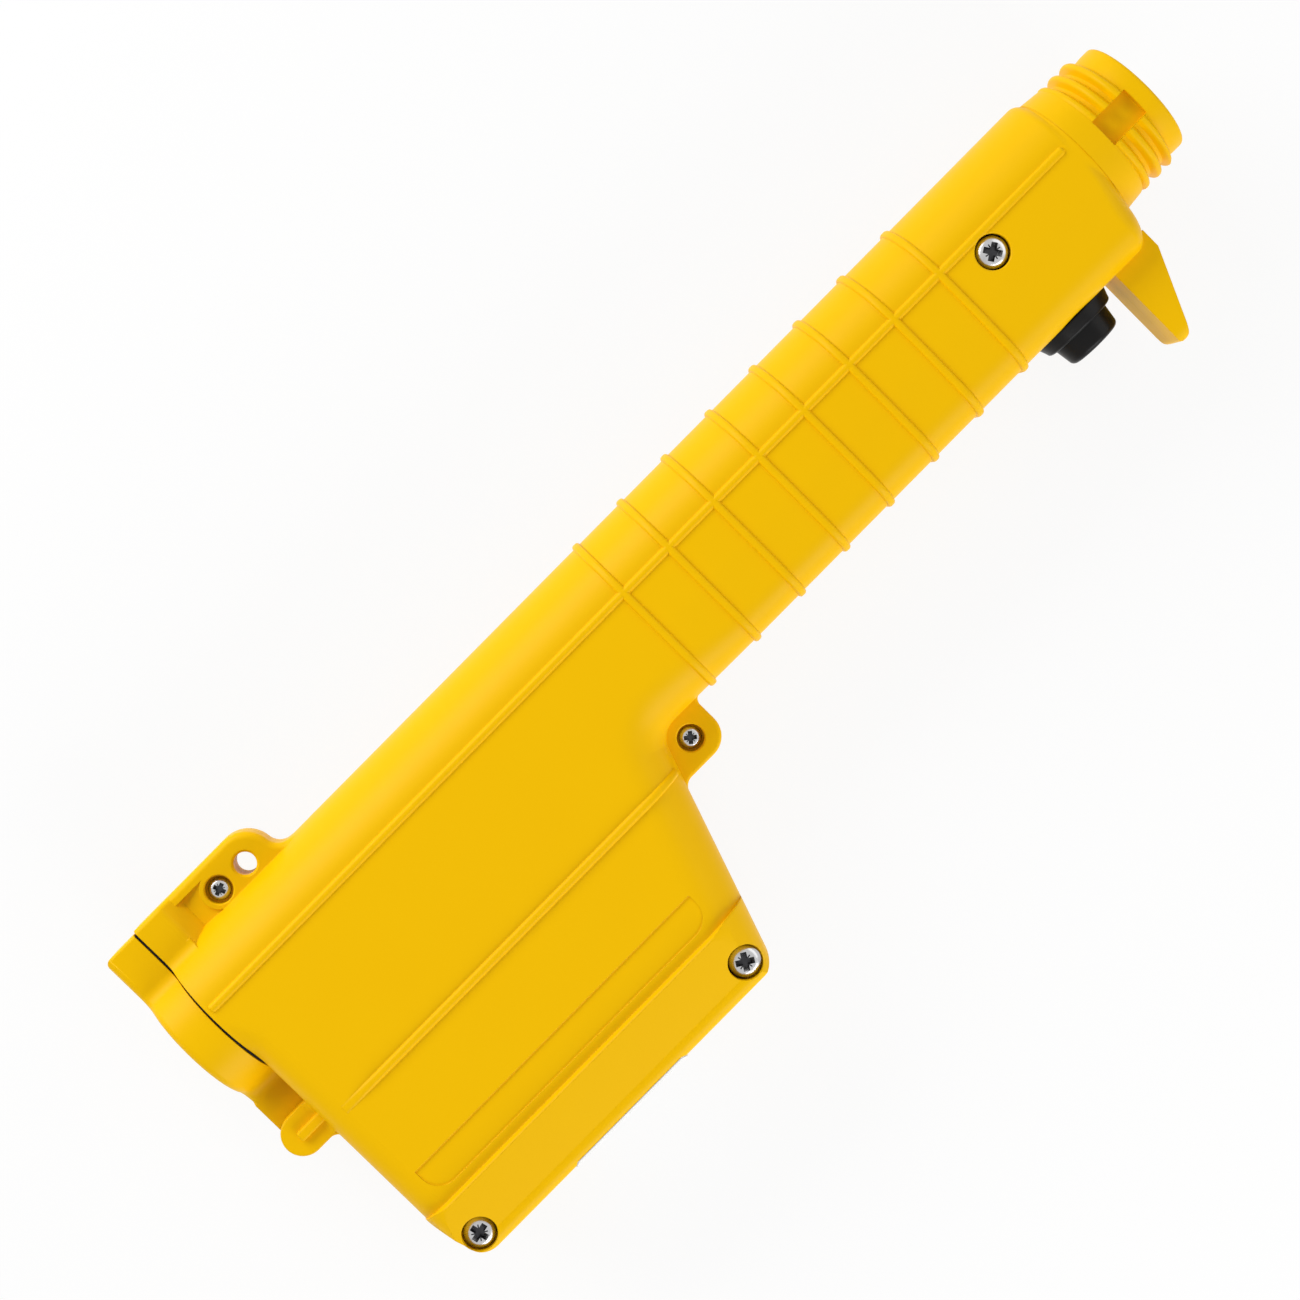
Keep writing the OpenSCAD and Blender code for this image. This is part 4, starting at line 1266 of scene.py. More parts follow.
    def box(self) -> bpy.types.Object:
        """Makes the box under the grip and the raised band round its foot."""
        box = Bench.prism("box", self.outline(0.0), Plane.SIDE, -self.half_t, self.half_t)
        Bench.combine(box, Join.COMMON, *self.rolls(self.half_t + LAP))
        top = self.half_t + self.band_rise
        band = Bench.prism("band", self.outline(self.band_y), Plane.SIDE, -top - PAST, top + PAST)
        edge = (self.band_edge_r - self.box_drop, self.band_edge_t - self.band_edge_r)
        half = [(self.band_y + u, top + v) for u, v in self.band_step]
        half += arc(edge, self.band_edge_r, 75, 180, 10)
        ends = (self.rear_x - PAST, self.front_at(0) + PAST)
        section = Bench.prism("band_section", mirrored(half), Plane.SECTION, *ends)
        Bench.combine(band, Join.COMMON, section, *self.rolls(top + LAP))
        below = Bench.block("below", (-FAR, -FAR, -BESIDE), (FAR, self.band_y - LAP, BESIDE))
        Bench.combine(box, Join.CUT, below)
        return Bench.combine(box, Join.ADD, band)

    def corner(self) -> bpy.types.Object:
        """Sweeps the soft lower edge of the grip round into the front edge of the box."""
        centre, run = self.hollow_corner(-self.drop, self.corner_r)
        roll, flat = self.front_roll, self.half_t - LAP
        half = [(self.corner_r + self.corner_reach, flat)]
        half += arc((self.corner_r + roll, flat - roll), roll, 90, 180, 16)
        rings = []
        for u, v in run:
            way = Vector((u - centre[0], v - centre[1])) / self.corner_r
            rings.append([
                Vector((centre[0] + way.x * reach, centre[1] + way.y * reach, z)) * MM
                for reach, z in mirrored(half)
            ])
        return Bench.loft("corner", rings)

    def guard(self) -> bpy.types.Object:
        """Makes the guard ahead of the button."""
        point = (self.guard_x + self.guard_point_r, self.guard_low + self.guard_point_r)
        knee = Vector(self.guard_base) - Vector((0, self.guard_knee))
        run = knee - Vector((point[0] + self.guard_point_r, point[1]))
        lean = math.degrees(math.atan2(run.x, run.y))
        root, edge = SUNK - self.drop, self.guard_edge_r
        outline = [(self.guard_x, root)] + arc(point, self.guard_point_r, 180, 360 - lean, 8)
        outline += [tuple(knee), (self.guard_base[0], root)]
        guard = Bench.prism("guard", outline, Plane.SIDE, -self.guard_t, self.guard_t)
        end = [(root, self.guard_t)]
        end += arc((self.guard_low + edge, self.guard_t - edge), edge, 90, 180, 8)
        ends = (self.guard_x - PAST, self.shoulder_x)
        shape = Bench.prism("guard_end", mirrored(end), Plane.SECTION, *ends)
        return Bench.combine(guard, Join.COMMON, shape)

    def ear_outline(self) -> list[Point]:
        """Gives the side view of the lanyard ear."""
        x, y = self.lanyard[0], self.ear_top - self.ear_r
        rise = self.top + self.ear_fillet_r
        spread = math.sqrt((self.ear_r + self.ear_fillet_r) ** 2 - (rise - y) ** 2)
        meet = math.degrees(math.atan2(rise - y, spread))
        front, foot = x + spread + self.ear_run, self.ear_foot_y
        outline = [(self.rear_x, foot), (front, foot), (front, self.top - self.ear_sunk)]
        outline += arc((x + spread, rise), self.ear_fillet_r, self.ear_fillet_end, 180 + meet, 10)
        outline += arc((x, y), self.ear_r, meet, 90, 14)[1:]
        return outline + [(self.rear_x, self.ear_top)]

    def ear(self) -> bpy.types.Object:
        """Makes the lanyard ear with its pockets and screw boss, and the latch block behind it."""
        ear = Bench.prism("ear", self.ear_outline(), Plane.SIDE, -self.ear_t, self.ear_t)

        def rounded(edge: bmesh.types.BMEdge) -> bool:
            """Tells whether an edge lies level on a flank of the ear and above the grip."""
            low, high = box_round(edge)
            return sharp(edge) and low.y > self.ear_edge_y and high.z - low.z < LEVEL

        Bench.soften(ear, self.ear_edge, 5, rounded)
        x, y = SMALL_SEATS[0].place
        start, end = self.rear_x + self.block_l, x - self.pocket_end
        pocket = [(start, self.pocket_t), (end, self.ear_t), (end, BESIDE), (start, BESIDE)]
        roof = self.ear_top - self.ear_roof
        for side in Side:
            hole = Bench.prism("ear_pocket", side.laid(pocket), Plane.PLAN, self.ear_foot_y, roof)
            boss = Bench.rod("ear_boss", "Z", (x, y, 0), -BESIDE, BESIDE, self.boss_r)
            Bench.combine(ear, Join.CUT, Bench.combine(hole, Join.CUT, boss))
        return Bench.combine(ear, Join.ADD, self.latch_block())

    def latch_block(self) -> bpy.types.Object:
        """Makes the block that the door latches to, with slopes down to the pockets of the ear."""
        start = self.rear_x + self.block_l
        slope = [(self.rear_x, self.block_t), (start - self.slope_lead, self.block_t)]
        slope += [(start + self.slope_l, self.pocket_t - self.slope_sunk)]
        block = Bench.prism("latch_block", mirrored(slope), Plane.PLAN, self.block_foot_y, self.ear_top)

        def rounded(edge: bmesh.types.BMEdge) -> bool:
            """Tells whether an edge is on top of the block or at the knee of a flank, and not at the door.

            Args:
                edge: Edge of the block.

            Returns:
                Whether it is one of those.
            """
            low, high = box_round(edge)
            aside = min(abs(low.z), abs(high.z)) > self.block_knee_t
            chosen = low.y > self.ear_top - LAP or (aside and low.x > self.rear_x + 1)
            return sharp(edge, 25) and chosen and high.x > self.rear_x + LAP

        return Bench.soften(block, self.block_edge, 5, rounded)

    def saddle(self) -> list[bpy.types.Object]:
        """Makes the hollow fillets between the round grip and the latch block."""
        crown, radius, low = self.crown, self.saddle_r, self.block_t - PAST
        z = self.block_t + radius
        y = crown + math.sqrt((self.half_t + radius) ** 2 - z ** 2)
        from_grip = math.degrees(math.atan2(-z, crown - y)) % 360
        outline = arc((y, z), radius, 270, from_grip, 8) + [(crown + self.saddle_foot, low), (y, low)]
        ends = (self.rear_x, self.rear_x + self.block_l - self.saddle_short)
        return [Bench.prism("saddle", side.laid(outline), Plane.SECTION, *ends) for side in Side]

    def tab(self) -> bpy.types.Object:
        """Makes the screw ear under the grip."""
        _, foot = self.hollow_corner(self.tab_low, self.tab_foot_r)
        rear, front, fillet = self.box_front_x - self.tab_rear, self.tab_front, self.tab_fillet_r
        outline = [(rear, SUNK - self.drop), (rear, foot[-1][1]), *reversed(foot)]
        outline += arc((front - self.tab_r, self.tab_low + self.tab_r), self.tab_r, 270, 360, 10)
        outline += arc((front + fillet, -self.drop - fillet), fillet, 180, self.tab_fillet_end, 6)
        outline += [(front + fillet, SUNK - self.drop)]
        tab = Bench.prism("tab", outline, Plane.SIDE, -self.tab_t, self.tab_t)

        def rounded(edge: bmesh.types.BMEdge) -> bool:
            """Tells whether an edge lies level on a flank of the tab, outside the grip and the box.

            Args:
                edge: Edge of the tab.

            Returns:
                Whether it is one of those.
            """
            low, high = box_round(edge)
            outside = high.y < -self.drop - LAP and low.x > rear + 1
            return sharp(edge) and outside and high.z - low.z < LEVEL

        return Bench.soften(tab, self.tab_edge, 4, rounded)

    def lugs(self) -> list[bpy.types.Object]:
        """Makes the two hinge lugs with their ribs and fillets."""
        x, y = HINGE
        low, high, wide = y - self.lug_r, y + self.lug_r, self.lug_rib_w / 2
        root = self.rear_x + SUNK
        outline = arc((x, y), self.lug_r, 90, 270, 24)
        outline += arc((self.rear_x - self.lug_foot_r, low - self.lug_foot_r), self.lug_foot_r, 90, 0, 8)
        outline += [(root, low - self.lug_foot_r), (root, high)]

        def rounded(edge: bmesh.types.BMEdge) -> bool:
            """Tells whether an edge is clear of the rear wall."""
            return sharp(edge) and box_round(edge)[1].x < self.rear_x - self.lug_edge_end

        made = []
        for side in Side:
            lug = Bench.prism("lug", outline, Plane.SIDE, *side.span(self.lug_in, self.lug_out))
            near, far = side.span(self.lug_out - self.lug_sunk, self.lug_out + self.lug_rib_h)
            rib = Bench.block("lug_rib", (x - 1, y - wide, near), (self.rear_x + PAST, y + wide, far))
            made.append(Bench.soften(lug, self.lug_edge, 3, rounded))
            made.append(Bench.soften(rib, self.lug_edge, 3, sharp))
            made.append(self.lug_fillet(side))
        return made

    def lug_fillet(self, side: Side) -> bpy.types.Object:
        """Makes the fillet between the flank of a lug and the rear wall.

        Args:
            side: Side of the lug.

        Returns:
            The fillet.
        """
        radius, sunk, half = self.lug_fillet_r, self.lug_sunk, self.lug_r - self.lug_fillet_short
        centre = (self.rear_x - radius, self.lug_out + radius)
        outline = arc(centre, radius, 0, -90, 8) + [(centre[0], self.lug_out - sunk)]
        outline += [(self.rear_x + sunk, self.lug_out - sunk), (self.rear_x + sunk, centre[1])]
        return Bench.prism("lug_fillet", side.laid(outline), Plane.PLAN, HINGE[1] - half, HINGE[1] + half)

    def hollows(self) -> list[bpy.types.Object]:
        """Makes the hollows of the grip, the box and its foot."""
        step = self.wall / math.cos(math.radians(self.lean))
        rear, wide = self.rear_x + self.rear_wall, self.half_t - self.wall
        top, gap, band = self.hollow_top, self.hollow_gap, self.band_y
        inner = grown(self.section(0), -self.wall)
        grip = Bench.prism("grip_hollow", inner, Plane.SECTION, rear, self.shoulder_x - self.front_wall)
        upper = [(rear + gap, top), (rear + gap, band)]
        upper += [(self.front_at(band) - step, band), (self.front_at(top) - step, top)]
        box = Bench.prism("box_hollow", upper, Plane.SIDE, -wide, wide)
        roll = [(-FAR, wide + gap)] + [(u, wide + v) for u, v in self.hollow_roll]
        Bench.combine(box, Join.COMMON, self.leaning("hollow_roll", roll))
        narrow, low = self.band_edge_t - self.wall - gap, self.wall - self.box_drop
        behind, ahead = rear + self.band_hollow_in[0], step + self.band_hollow_in[1]
        lower = [(behind, band + 1), (behind, low), (self.toe[0], low)]
        lower += [(self.front_at(self.toe[1]) - ahead, self.toe[1]), (self.front_at(band) - ahead, band + 1)]
        return [grip, box, Bench.prism("band_hollow", lower, Plane.SIDE, -narrow, narrow)]

    def openings(self) -> list[bpy.types.Object]:
        """Makes the openings of the cells, the nose, the contact strip, the latch and the switch."""
        axis, out, rear = (0, 0, 0), self.rear_x - 1, self.rear_x + self.rear_wall + 1
        nose = [self.shoulder_x + u for u in self.nose_bore]
        seat = [self.shoulder_x + u for u in self.flange_seat]
        strip, slot = self.strip_way, self.tongue_slot
        strip_w, slot_w, slot_end = self.strip_half_w, self.tongue_half_w, self.rear_x + self.tongue_l
        return [
            Bench.rod("cell_bore", "X", axis, out, rear, self.cell_bore_r),
            Bench.rod("nose_bore", "X", axis, *nose, self.nose_bore_r),
            Bench.rod("flange_seat", "X", axis, *seat, self.flange_seat_r),
            Bench.block("strip_way", (out, strip[0], -strip_w), (rear, strip[1], strip_w)),
            Bench.block("tongue_slot", (out, slot[0], -slot_w), (slot_end, slot[1], slot_w)),
            Bench.rod("switch_hole", "Y", (SWITCH_X, 0, 0), *self.switch_hole, self.switch_hole_r),
        ]

    def cuts(self) -> list[bpy.types.Object]:
        """Makes the holes of the lanyard and the hinge pin, and the strip panels."""
        hole = (*self.lanyard, 0)
        made = [Bench.rod("lanyard_hole", "Z", hole, -BESIDE, BESIDE, self.lanyard_r)]
        made.append(Bench.rod("pin_hole", "Z", (*HINGE, 0), -self.pin_half_l, self.pin_half_l, PIN_HOLE_R))
        floor, over, wide = self.ear_t - self.lip_depth, self.ear_t + self.lip_w, self.lanyard_r + self.lip_w
        lip = [(floor, 0), (floor, self.lanyard_r), (floor + self.lip_w, wide), (over, wide), (over, 0)]
        for side in Side:
            profile = [(u * side.value, v) for u, v in lip]
            made.append(Bench.turned("hole_lip", profile, "Z", hole, HOLE_STEPS))
            span = side.span(self.half_t - self.panel_depth, self.half_t + PAST)
            made.append(Bench.prism("panel", self.panel(), Plane.SIDE, *span))
        return made

    def wells(self) -> list[bpy.types.Object]:
        """Makes the wells of the screws, with a soft rim where they open into a flat."""
        made = []
        rims = (self.half_t, 0.0, 0.0, self.ear_t, self.tab_t)
        for seat, rim in zip(LARGE_SEATS + SMALL_SEATS, rims):
            radius = seat.well_r
            profile = [(seat.floor, 0.0), (seat.floor, radius)]
            if rim:
                wide, over = radius + self.rim_edge, rim + self.rim_over
                profile += [(rim - self.rim_edge, radius), (rim, wide), (over, wide), (over, 0)]
            else:
                profile += [(BESIDE, radius), (BESIDE, 0.0)]
            made.append(Bench.turned("well", profile, "Z", (*seat.place, 0), HOLE_STEPS))
        return made

    def panel(self) -> list[Point]:
        """Gives the outline of the shallow strip panel."""
        radius, (low, high) = self.panel_r, self.panel_y
        rear, front = self.rear_x + self.panel_ends[0], self.front_at(low) - self.panel_ends[1]
        outline = [(rear, high)] + arc((rear + radius, low + radius), radius, 180, 270, 10)
        return outline + arc((front - radius, low + radius), radius, 270, 360, 10) + [(front, high)]

    def build(self, finishes: Finishes) -> None:
        """Makes both halves of the case.

        Args:
            finishes: Materials to dress them with.
        """
        case = self.grip()
        Bench.combine(case, Join.ADD, self.box(), self.corner(), self.guard(), self.tab(), self.ear())
        Bench.combine(case, Join.ADD, *self.saddle(), *self.cross_ribs())
        Bench.combine(case, Join.ADD, *self.upper_ribs(), *self.low_ribs())
        Bench.combine(case, Join.CUT, *self.hollows(), *self.openings())
        Bench.combine(case, Join.ADD, *self.lugs())
        Bench.combine(case, Join.CUT, *self.cuts(), *self.wells())
        left = Bench.copy(case, "case_left", Matrix())
        case.name = "case_right"
        for half, side, node in ((case, Side.RIGHT, "right_shell"), (left, Side.LEFT, "left_shell")):
            near, far = side.span(self.parting, BESIDE)
            Bench.combine(half, Join.COMMON, Bench.block("half", (-FAR, -FAR, near), (FAR, FAR, far)))
            finishes.hand_over(Bench.smooth(half), "case_yellow", "handle", node)


@dataclass
class Nose:
    """The threaded nose.

    Attributes are sizes in millimetres; the ridge has half widths and depths under its crest.
    """

    tip_r: float = 15.7
    tip_l: float = 3.7
    tip_edge: float = 0.8
    tip_slope: Point = (0.5, -1.5)
    root_r: float = 15.5
    crest_r: float = 17.3
    pitch: float = 4.0
    turns: float = 2.75
    turn_steps: int = 96
    ridge: tuple[Point, ...] = ((0.0, 0.0), (0.36, 0.04), (0.66, 0.2), (0.92, 0.55))
    ridge_w: float = 1.62
    ridge_gap: float = 0.05
    ridge_sunk: float = 0.3
    run_in_sunk: float = 0.25
    run_in: Point = (0.1, 0.25)
    neck_x: float = -14.3
    neck_lead: float = 0.3
    neck_start_r: float = 17.1
    neck_r: float = 17.7
    neck_edge: float = 1.6
    neck_turn: Point = (4.0, 86.0)
    rear_x: float = SHOULDER_X
    socket_r: float = 11.5
    socket_l: float = 14.0
    socket_edge: float = 0.6
    bore_r: float = 9.5
    spigot_r: float = 12.7
    spigot_l: float = 3.0
    flange_r: float = 14.3
    flange: Point = (3.05, 5.45)
    notch: Point = (-15.4, -4.4)
    notch_w: float = 7.5
    notch_floor: float = 13.7

    def body(self) -> bpy.types.Object:
        """Turns the nose without its thread."""
        edge, lip = self.tip_edge, self.socket_edge
        front, rear = (self.rear_x - u for u in self.flange)
        middle = (self.neck_x - self.neck_edge, self.neck_start_r - self.neck_edge)
        profile = [(-self.socket_l, self.bore_r), (-self.socket_l, self.socket_r), (-lip, self.socket_r)]
        profile += [(0.0, self.socket_r + lip)] + arc((-edge, self.tip_r - edge), edge, 0, 90, 5)
        slope = [u - self.tip_l for u in self.tip_slope]
        profile += [(slope[0], self.tip_r), (slope[1], self.root_r)]
        profile += [(self.neck_x + self.neck_lead, self.root_r)]
        profile += arc(middle, self.neck_edge, *self.neck_turn, 8)
        profile += [(self.rear_x, self.neck_r), (self.rear_x, self.spigot_r)]
        profile += [(self.rear_x - self.spigot_l, self.spigot_r), (front, self.flange_r)]
        profile += [(rear, self.flange_r), (rear, self.bore_r)]
        return Bench.turned("threaded_nose_skin", profile, "X", (0, 0, 0), NOSE_STEPS)

    def thread(self) -> bpy.types.Object:
        """Winds the rounded ridge of the thread, which starts behind the tip and ends in the neck."""
        half = [(u, self.crest_r - v) for u, v in self.ridge]
        half += [(self.ridge_w, self.root_r - self.ridge_sunk)]
        start = -self.tip_l - self.ridge_w - self.ridge_gap + self.pitch / 4
        points = [Vector((start + u, 0, -r)) * MM for u, r in both_ways(half)]
        steps = round(self.turn_steps * self.turns)
        ridge = Bench.shape(
            Bench.ring("thread", points, False), "SCREW", axis="X", angle=-math.tau * self.turns,
            screw_offset=-self.pitch * self.turns * MM, steps=steps, render_steps=steps,
            use_merge_vertices=False,
        )
        root = (self.root_r - self.run_in_sunk) * MM
        for vertex in ridge.data.vertices:
            turn = (start * MM - vertex.co.x) / (self.pitch * MM)
            radius = math.hypot(vertex.co.y, vertex.co.z)
            if radius > root:
                share = ease((turn - self.run_in[0]) / self.run_in[1])
                vertex.co.yz = vertex.co.yz * ((root + (radius - root) * share) / radius)
        with Bench.editing(ridge):
            bpy.ops.mesh.fill_holes(sides=0)
            Bench.tidy()
        return ridge

    def build(self, finishes: Finishes) -> None:
        """Makes the nose.

        Args:
            finishes: Materials to dress it with.
        """
        nose = Bench.combine(self.body(), Join.ADD, self.thread())
        rear, front = self.notch
        half = self.notch_w / 2
        for side in Side:
            near, far = side.span(self.notch_floor, BESIDE)
            notch = Bench.block("notch", (rear, -half, near), (front, half, far))
            Bench.combine(nose, Join.CUT, notch)
        finishes.hand_over(Bench.smooth(nose), "case_yellow", "handle", "threaded_nose")


@dataclass
class Door:
    """The battery door with its bulge, flanges, hinge knuckle and latch tongue.

    Attributes are sizes in millimetres.
    """

    front_x: float = -307.15
    back_x: float = -316.9
    top: float = 29.0
    bulge_r: float = 17.0
    flange_t: float = 8.2
    low_t: float = 3.5
    fillet_r: float = 4.5
    edge_r: float = 2.0
    top_edge: float = 0.8
    top_edge_l: float = 4.0
    knuckle_r: float = 5.3
    small_edge: float = 0.5
    tongue_l: float = 7.5
    tongue_y: Point = (21.0, 23.4)
    tongue_half_w: float = 3.5

    def outline(self) -> list[Point]:
        """Gives the rear view of the door, as Y and Z, without its knuckle."""
        turns = []
        for thick, way in ((self.flange_t, 1), (self.low_t, -1)):
            z = thick + self.fillet_r
            y = way * math.sqrt((self.bulge_r + self.fillet_r) ** 2 - z ** 2)
            turns.append(((y, z), math.degrees(math.atan2(z, y))))
        (upper, first), (lower, second) = turns
        half = [(self.top, self.flange_t)] + arc(upper, self.fillet_r, 270, 180 + first, 8)
        half += arc((0.0, 0.0), self.bulge_r, first, second, 32)[1:-1]
        half += arc(lower, self.fillet_r, 180 + second, 270, 8) + [(HINGE[1], self.low_t)]
        return mirrored(half)

    def plate(self) -> bpy.types.Object:
        """Makes the door without its knuckle and tongue, with a round rear edge."""
        plate = Bench.prism("battery_door_skin", self.outline(), Plane.SECTION, self.back_x, self.front_x)

        def behind(edge: bmesh.types.BMEdge) -> bool:
            """Tells whether an edge is on the rear face and above the hinge."""
            low, high = box_round(edge)
            return sharp(edge) and high.x < self.back_x + LAP and low.y > HINGE[1] + LAP

        def upper(edge: bmesh.types.BMEdge) -> bool:
            """Tells whether an edge runs along a top corner."""
            low, high = box_round(edge)
            return sharp(edge) and low.y > self.top - LAP - PAST and high.x - low.x > self.top_edge_l

        Bench.soften(plate, self.edge_r, 6, behind)
        return Bench.soften(plate, self.top_edge, 4, upper)

    def tongue(self) -> bpy.types.Object:
        """Makes the latch tongue with a round front end."""
        front, wide = self.front_x + self.tongue_l, self.tongue_half_w
        low, high = self.tongue_y
        tongue = Bench.block("tongue", (self.front_x - 1, low, -wide), (front, high, wide))

        def ahead(edge: bmesh.types.BMEdge) -> bool:
            """Tells whether an edge reaches the front end."""
            return sharp(edge) and box_round(edge)[1].x > front - self.small_edge

        return Bench.soften(tongue, self.small_edge, 3, ahead)

    def build(self, finishes: Finishes) -> None:
        """Makes the door.

        Args:
            finishes: Materials to dress it with.
        """
        axis = (*HINGE, 0)
        knuckle = Bench.rod("knuckle", "Z", axis, -self.low_t, self.low_t, self.knuckle_r)
        Bench.soften(knuckle, self.small_edge, 3, sharp)
        door = Bench.combine(self.plate(), Join.ADD, knuckle, self.tongue())
        Bench.combine(door, Join.CUT, Bench.rod("pin_hole", "Z", axis, -BESIDE, BESIDE, PIN_HOLE_R))
        finishes.hand_over(Bench.smooth(door), "case_yellow", "door", "battery_door")


@dataclass
class Button:
    """The black collar and the push button in it.

    Attributes are sizes in millimetres; places along Y count from the nose axis.
    """

    base_y: float = -25.9
    collar_y: float = -29.4
    collar_r: float = 10.7
    collar_edge: float = 0.9
    foot_h: float = 0.5
    rim_r: float = 9.95
    hole_r: float = 8.1
    hole_edge: float = 0.4
    barrel_r: float = 9.3
    barrel_y: float = -14.0
    throat_y: float = -24.9
    throat_r: float = 6.55
    chamber_y: float = -19.3
    chamber_r: float = 7.8
    cap_y: float = -34.9
    cap_r: float = 7.4
    cap_edge: float = 1.5
    cap_dish: tuple[Point, ...] = ((0.25, 0.0), (0.18, 3.0))
    cap_foot_r: float = 8.0
    cap_top_y: float = -27.6
    stem_r: float = 6.5
    stem_y: float = -17.5
    ring_r: float = 7.6
    ring_h: float = 1.5
    bore_r: float = 4.0
    bore_l: float = 8.0

    def collar(self) -> list[Point]:
        """Gives the profile of the collar and its barrel."""
        edge, lip = self.collar_edge, self.hole_edge
        profile = [(self.base_y, self.barrel_r), (self.base_y, self.collar_r)]
        profile += [(self.base_y - self.foot_h, self.collar_r)]
        profile += arc((self.collar_y + edge, self.rim_r - edge), edge, 90, 180, 6)
        profile += [(self.collar_y, self.hole_r + lip), (self.collar_y + lip, self.hole_r)]
        profile += [(self.throat_y, self.hole_r), (self.throat_y, self.throat_r)]
        profile += [(self.chamber_y, self.throat_r), (self.chamber_y, self.chamber_r)]
        return profile + [(self.barrel_y, self.chamber_r), (self.barrel_y, self.barrel_r)]

    def plunger(self) -> list[Point]:
        """Gives the profile of the push button, with the bore of its spring."""
        edge, ring, bore = self.cap_edge, self.stem_y - self.ring_h, self.stem_y - self.bore_l
        profile = [(self.cap_y + u, r) for u, r in self.cap_dish]
        profile += arc((self.cap_y + edge, self.cap_r - edge), edge, 180, 90, 6)
        profile += [(self.collar_y, self.cap_foot_r), (self.cap_top_y, self.cap_foot_r)]
        profile += [(self.cap_top_y, self.stem_r), (ring, self.stem_r), (ring, self.ring_r)]
        profile += [(self.stem_y, self.ring_r), (self.stem_y, self.bore_r)]
        return profile + [(bore, self.bore_r), (bore, 0.0)]

    def build(self, finishes: Finishes) -> None:
        """Makes the collar and the button.

        Args:
            finishes: Materials to dress them with.
        """
        for name, profile, body, node in (
            ("switch_collar", self.collar(), "handle", "switch_bezel"),
            ("push_button", self.plunger(), "button", "switch_button"),
        ):
            piece = Bench.turned(name, profile, "Y", (SWITCH_X, 0, 0))
            finishes.hand_over(Bench.smooth(piece), "button_black", body, node)


@dataclass(frozen=True)
class ScrewSize:
    """Sizes of one kind of screw in millimetres."""

    head_r: float
    head_h: float
    shank_r: float
    shank_l: float


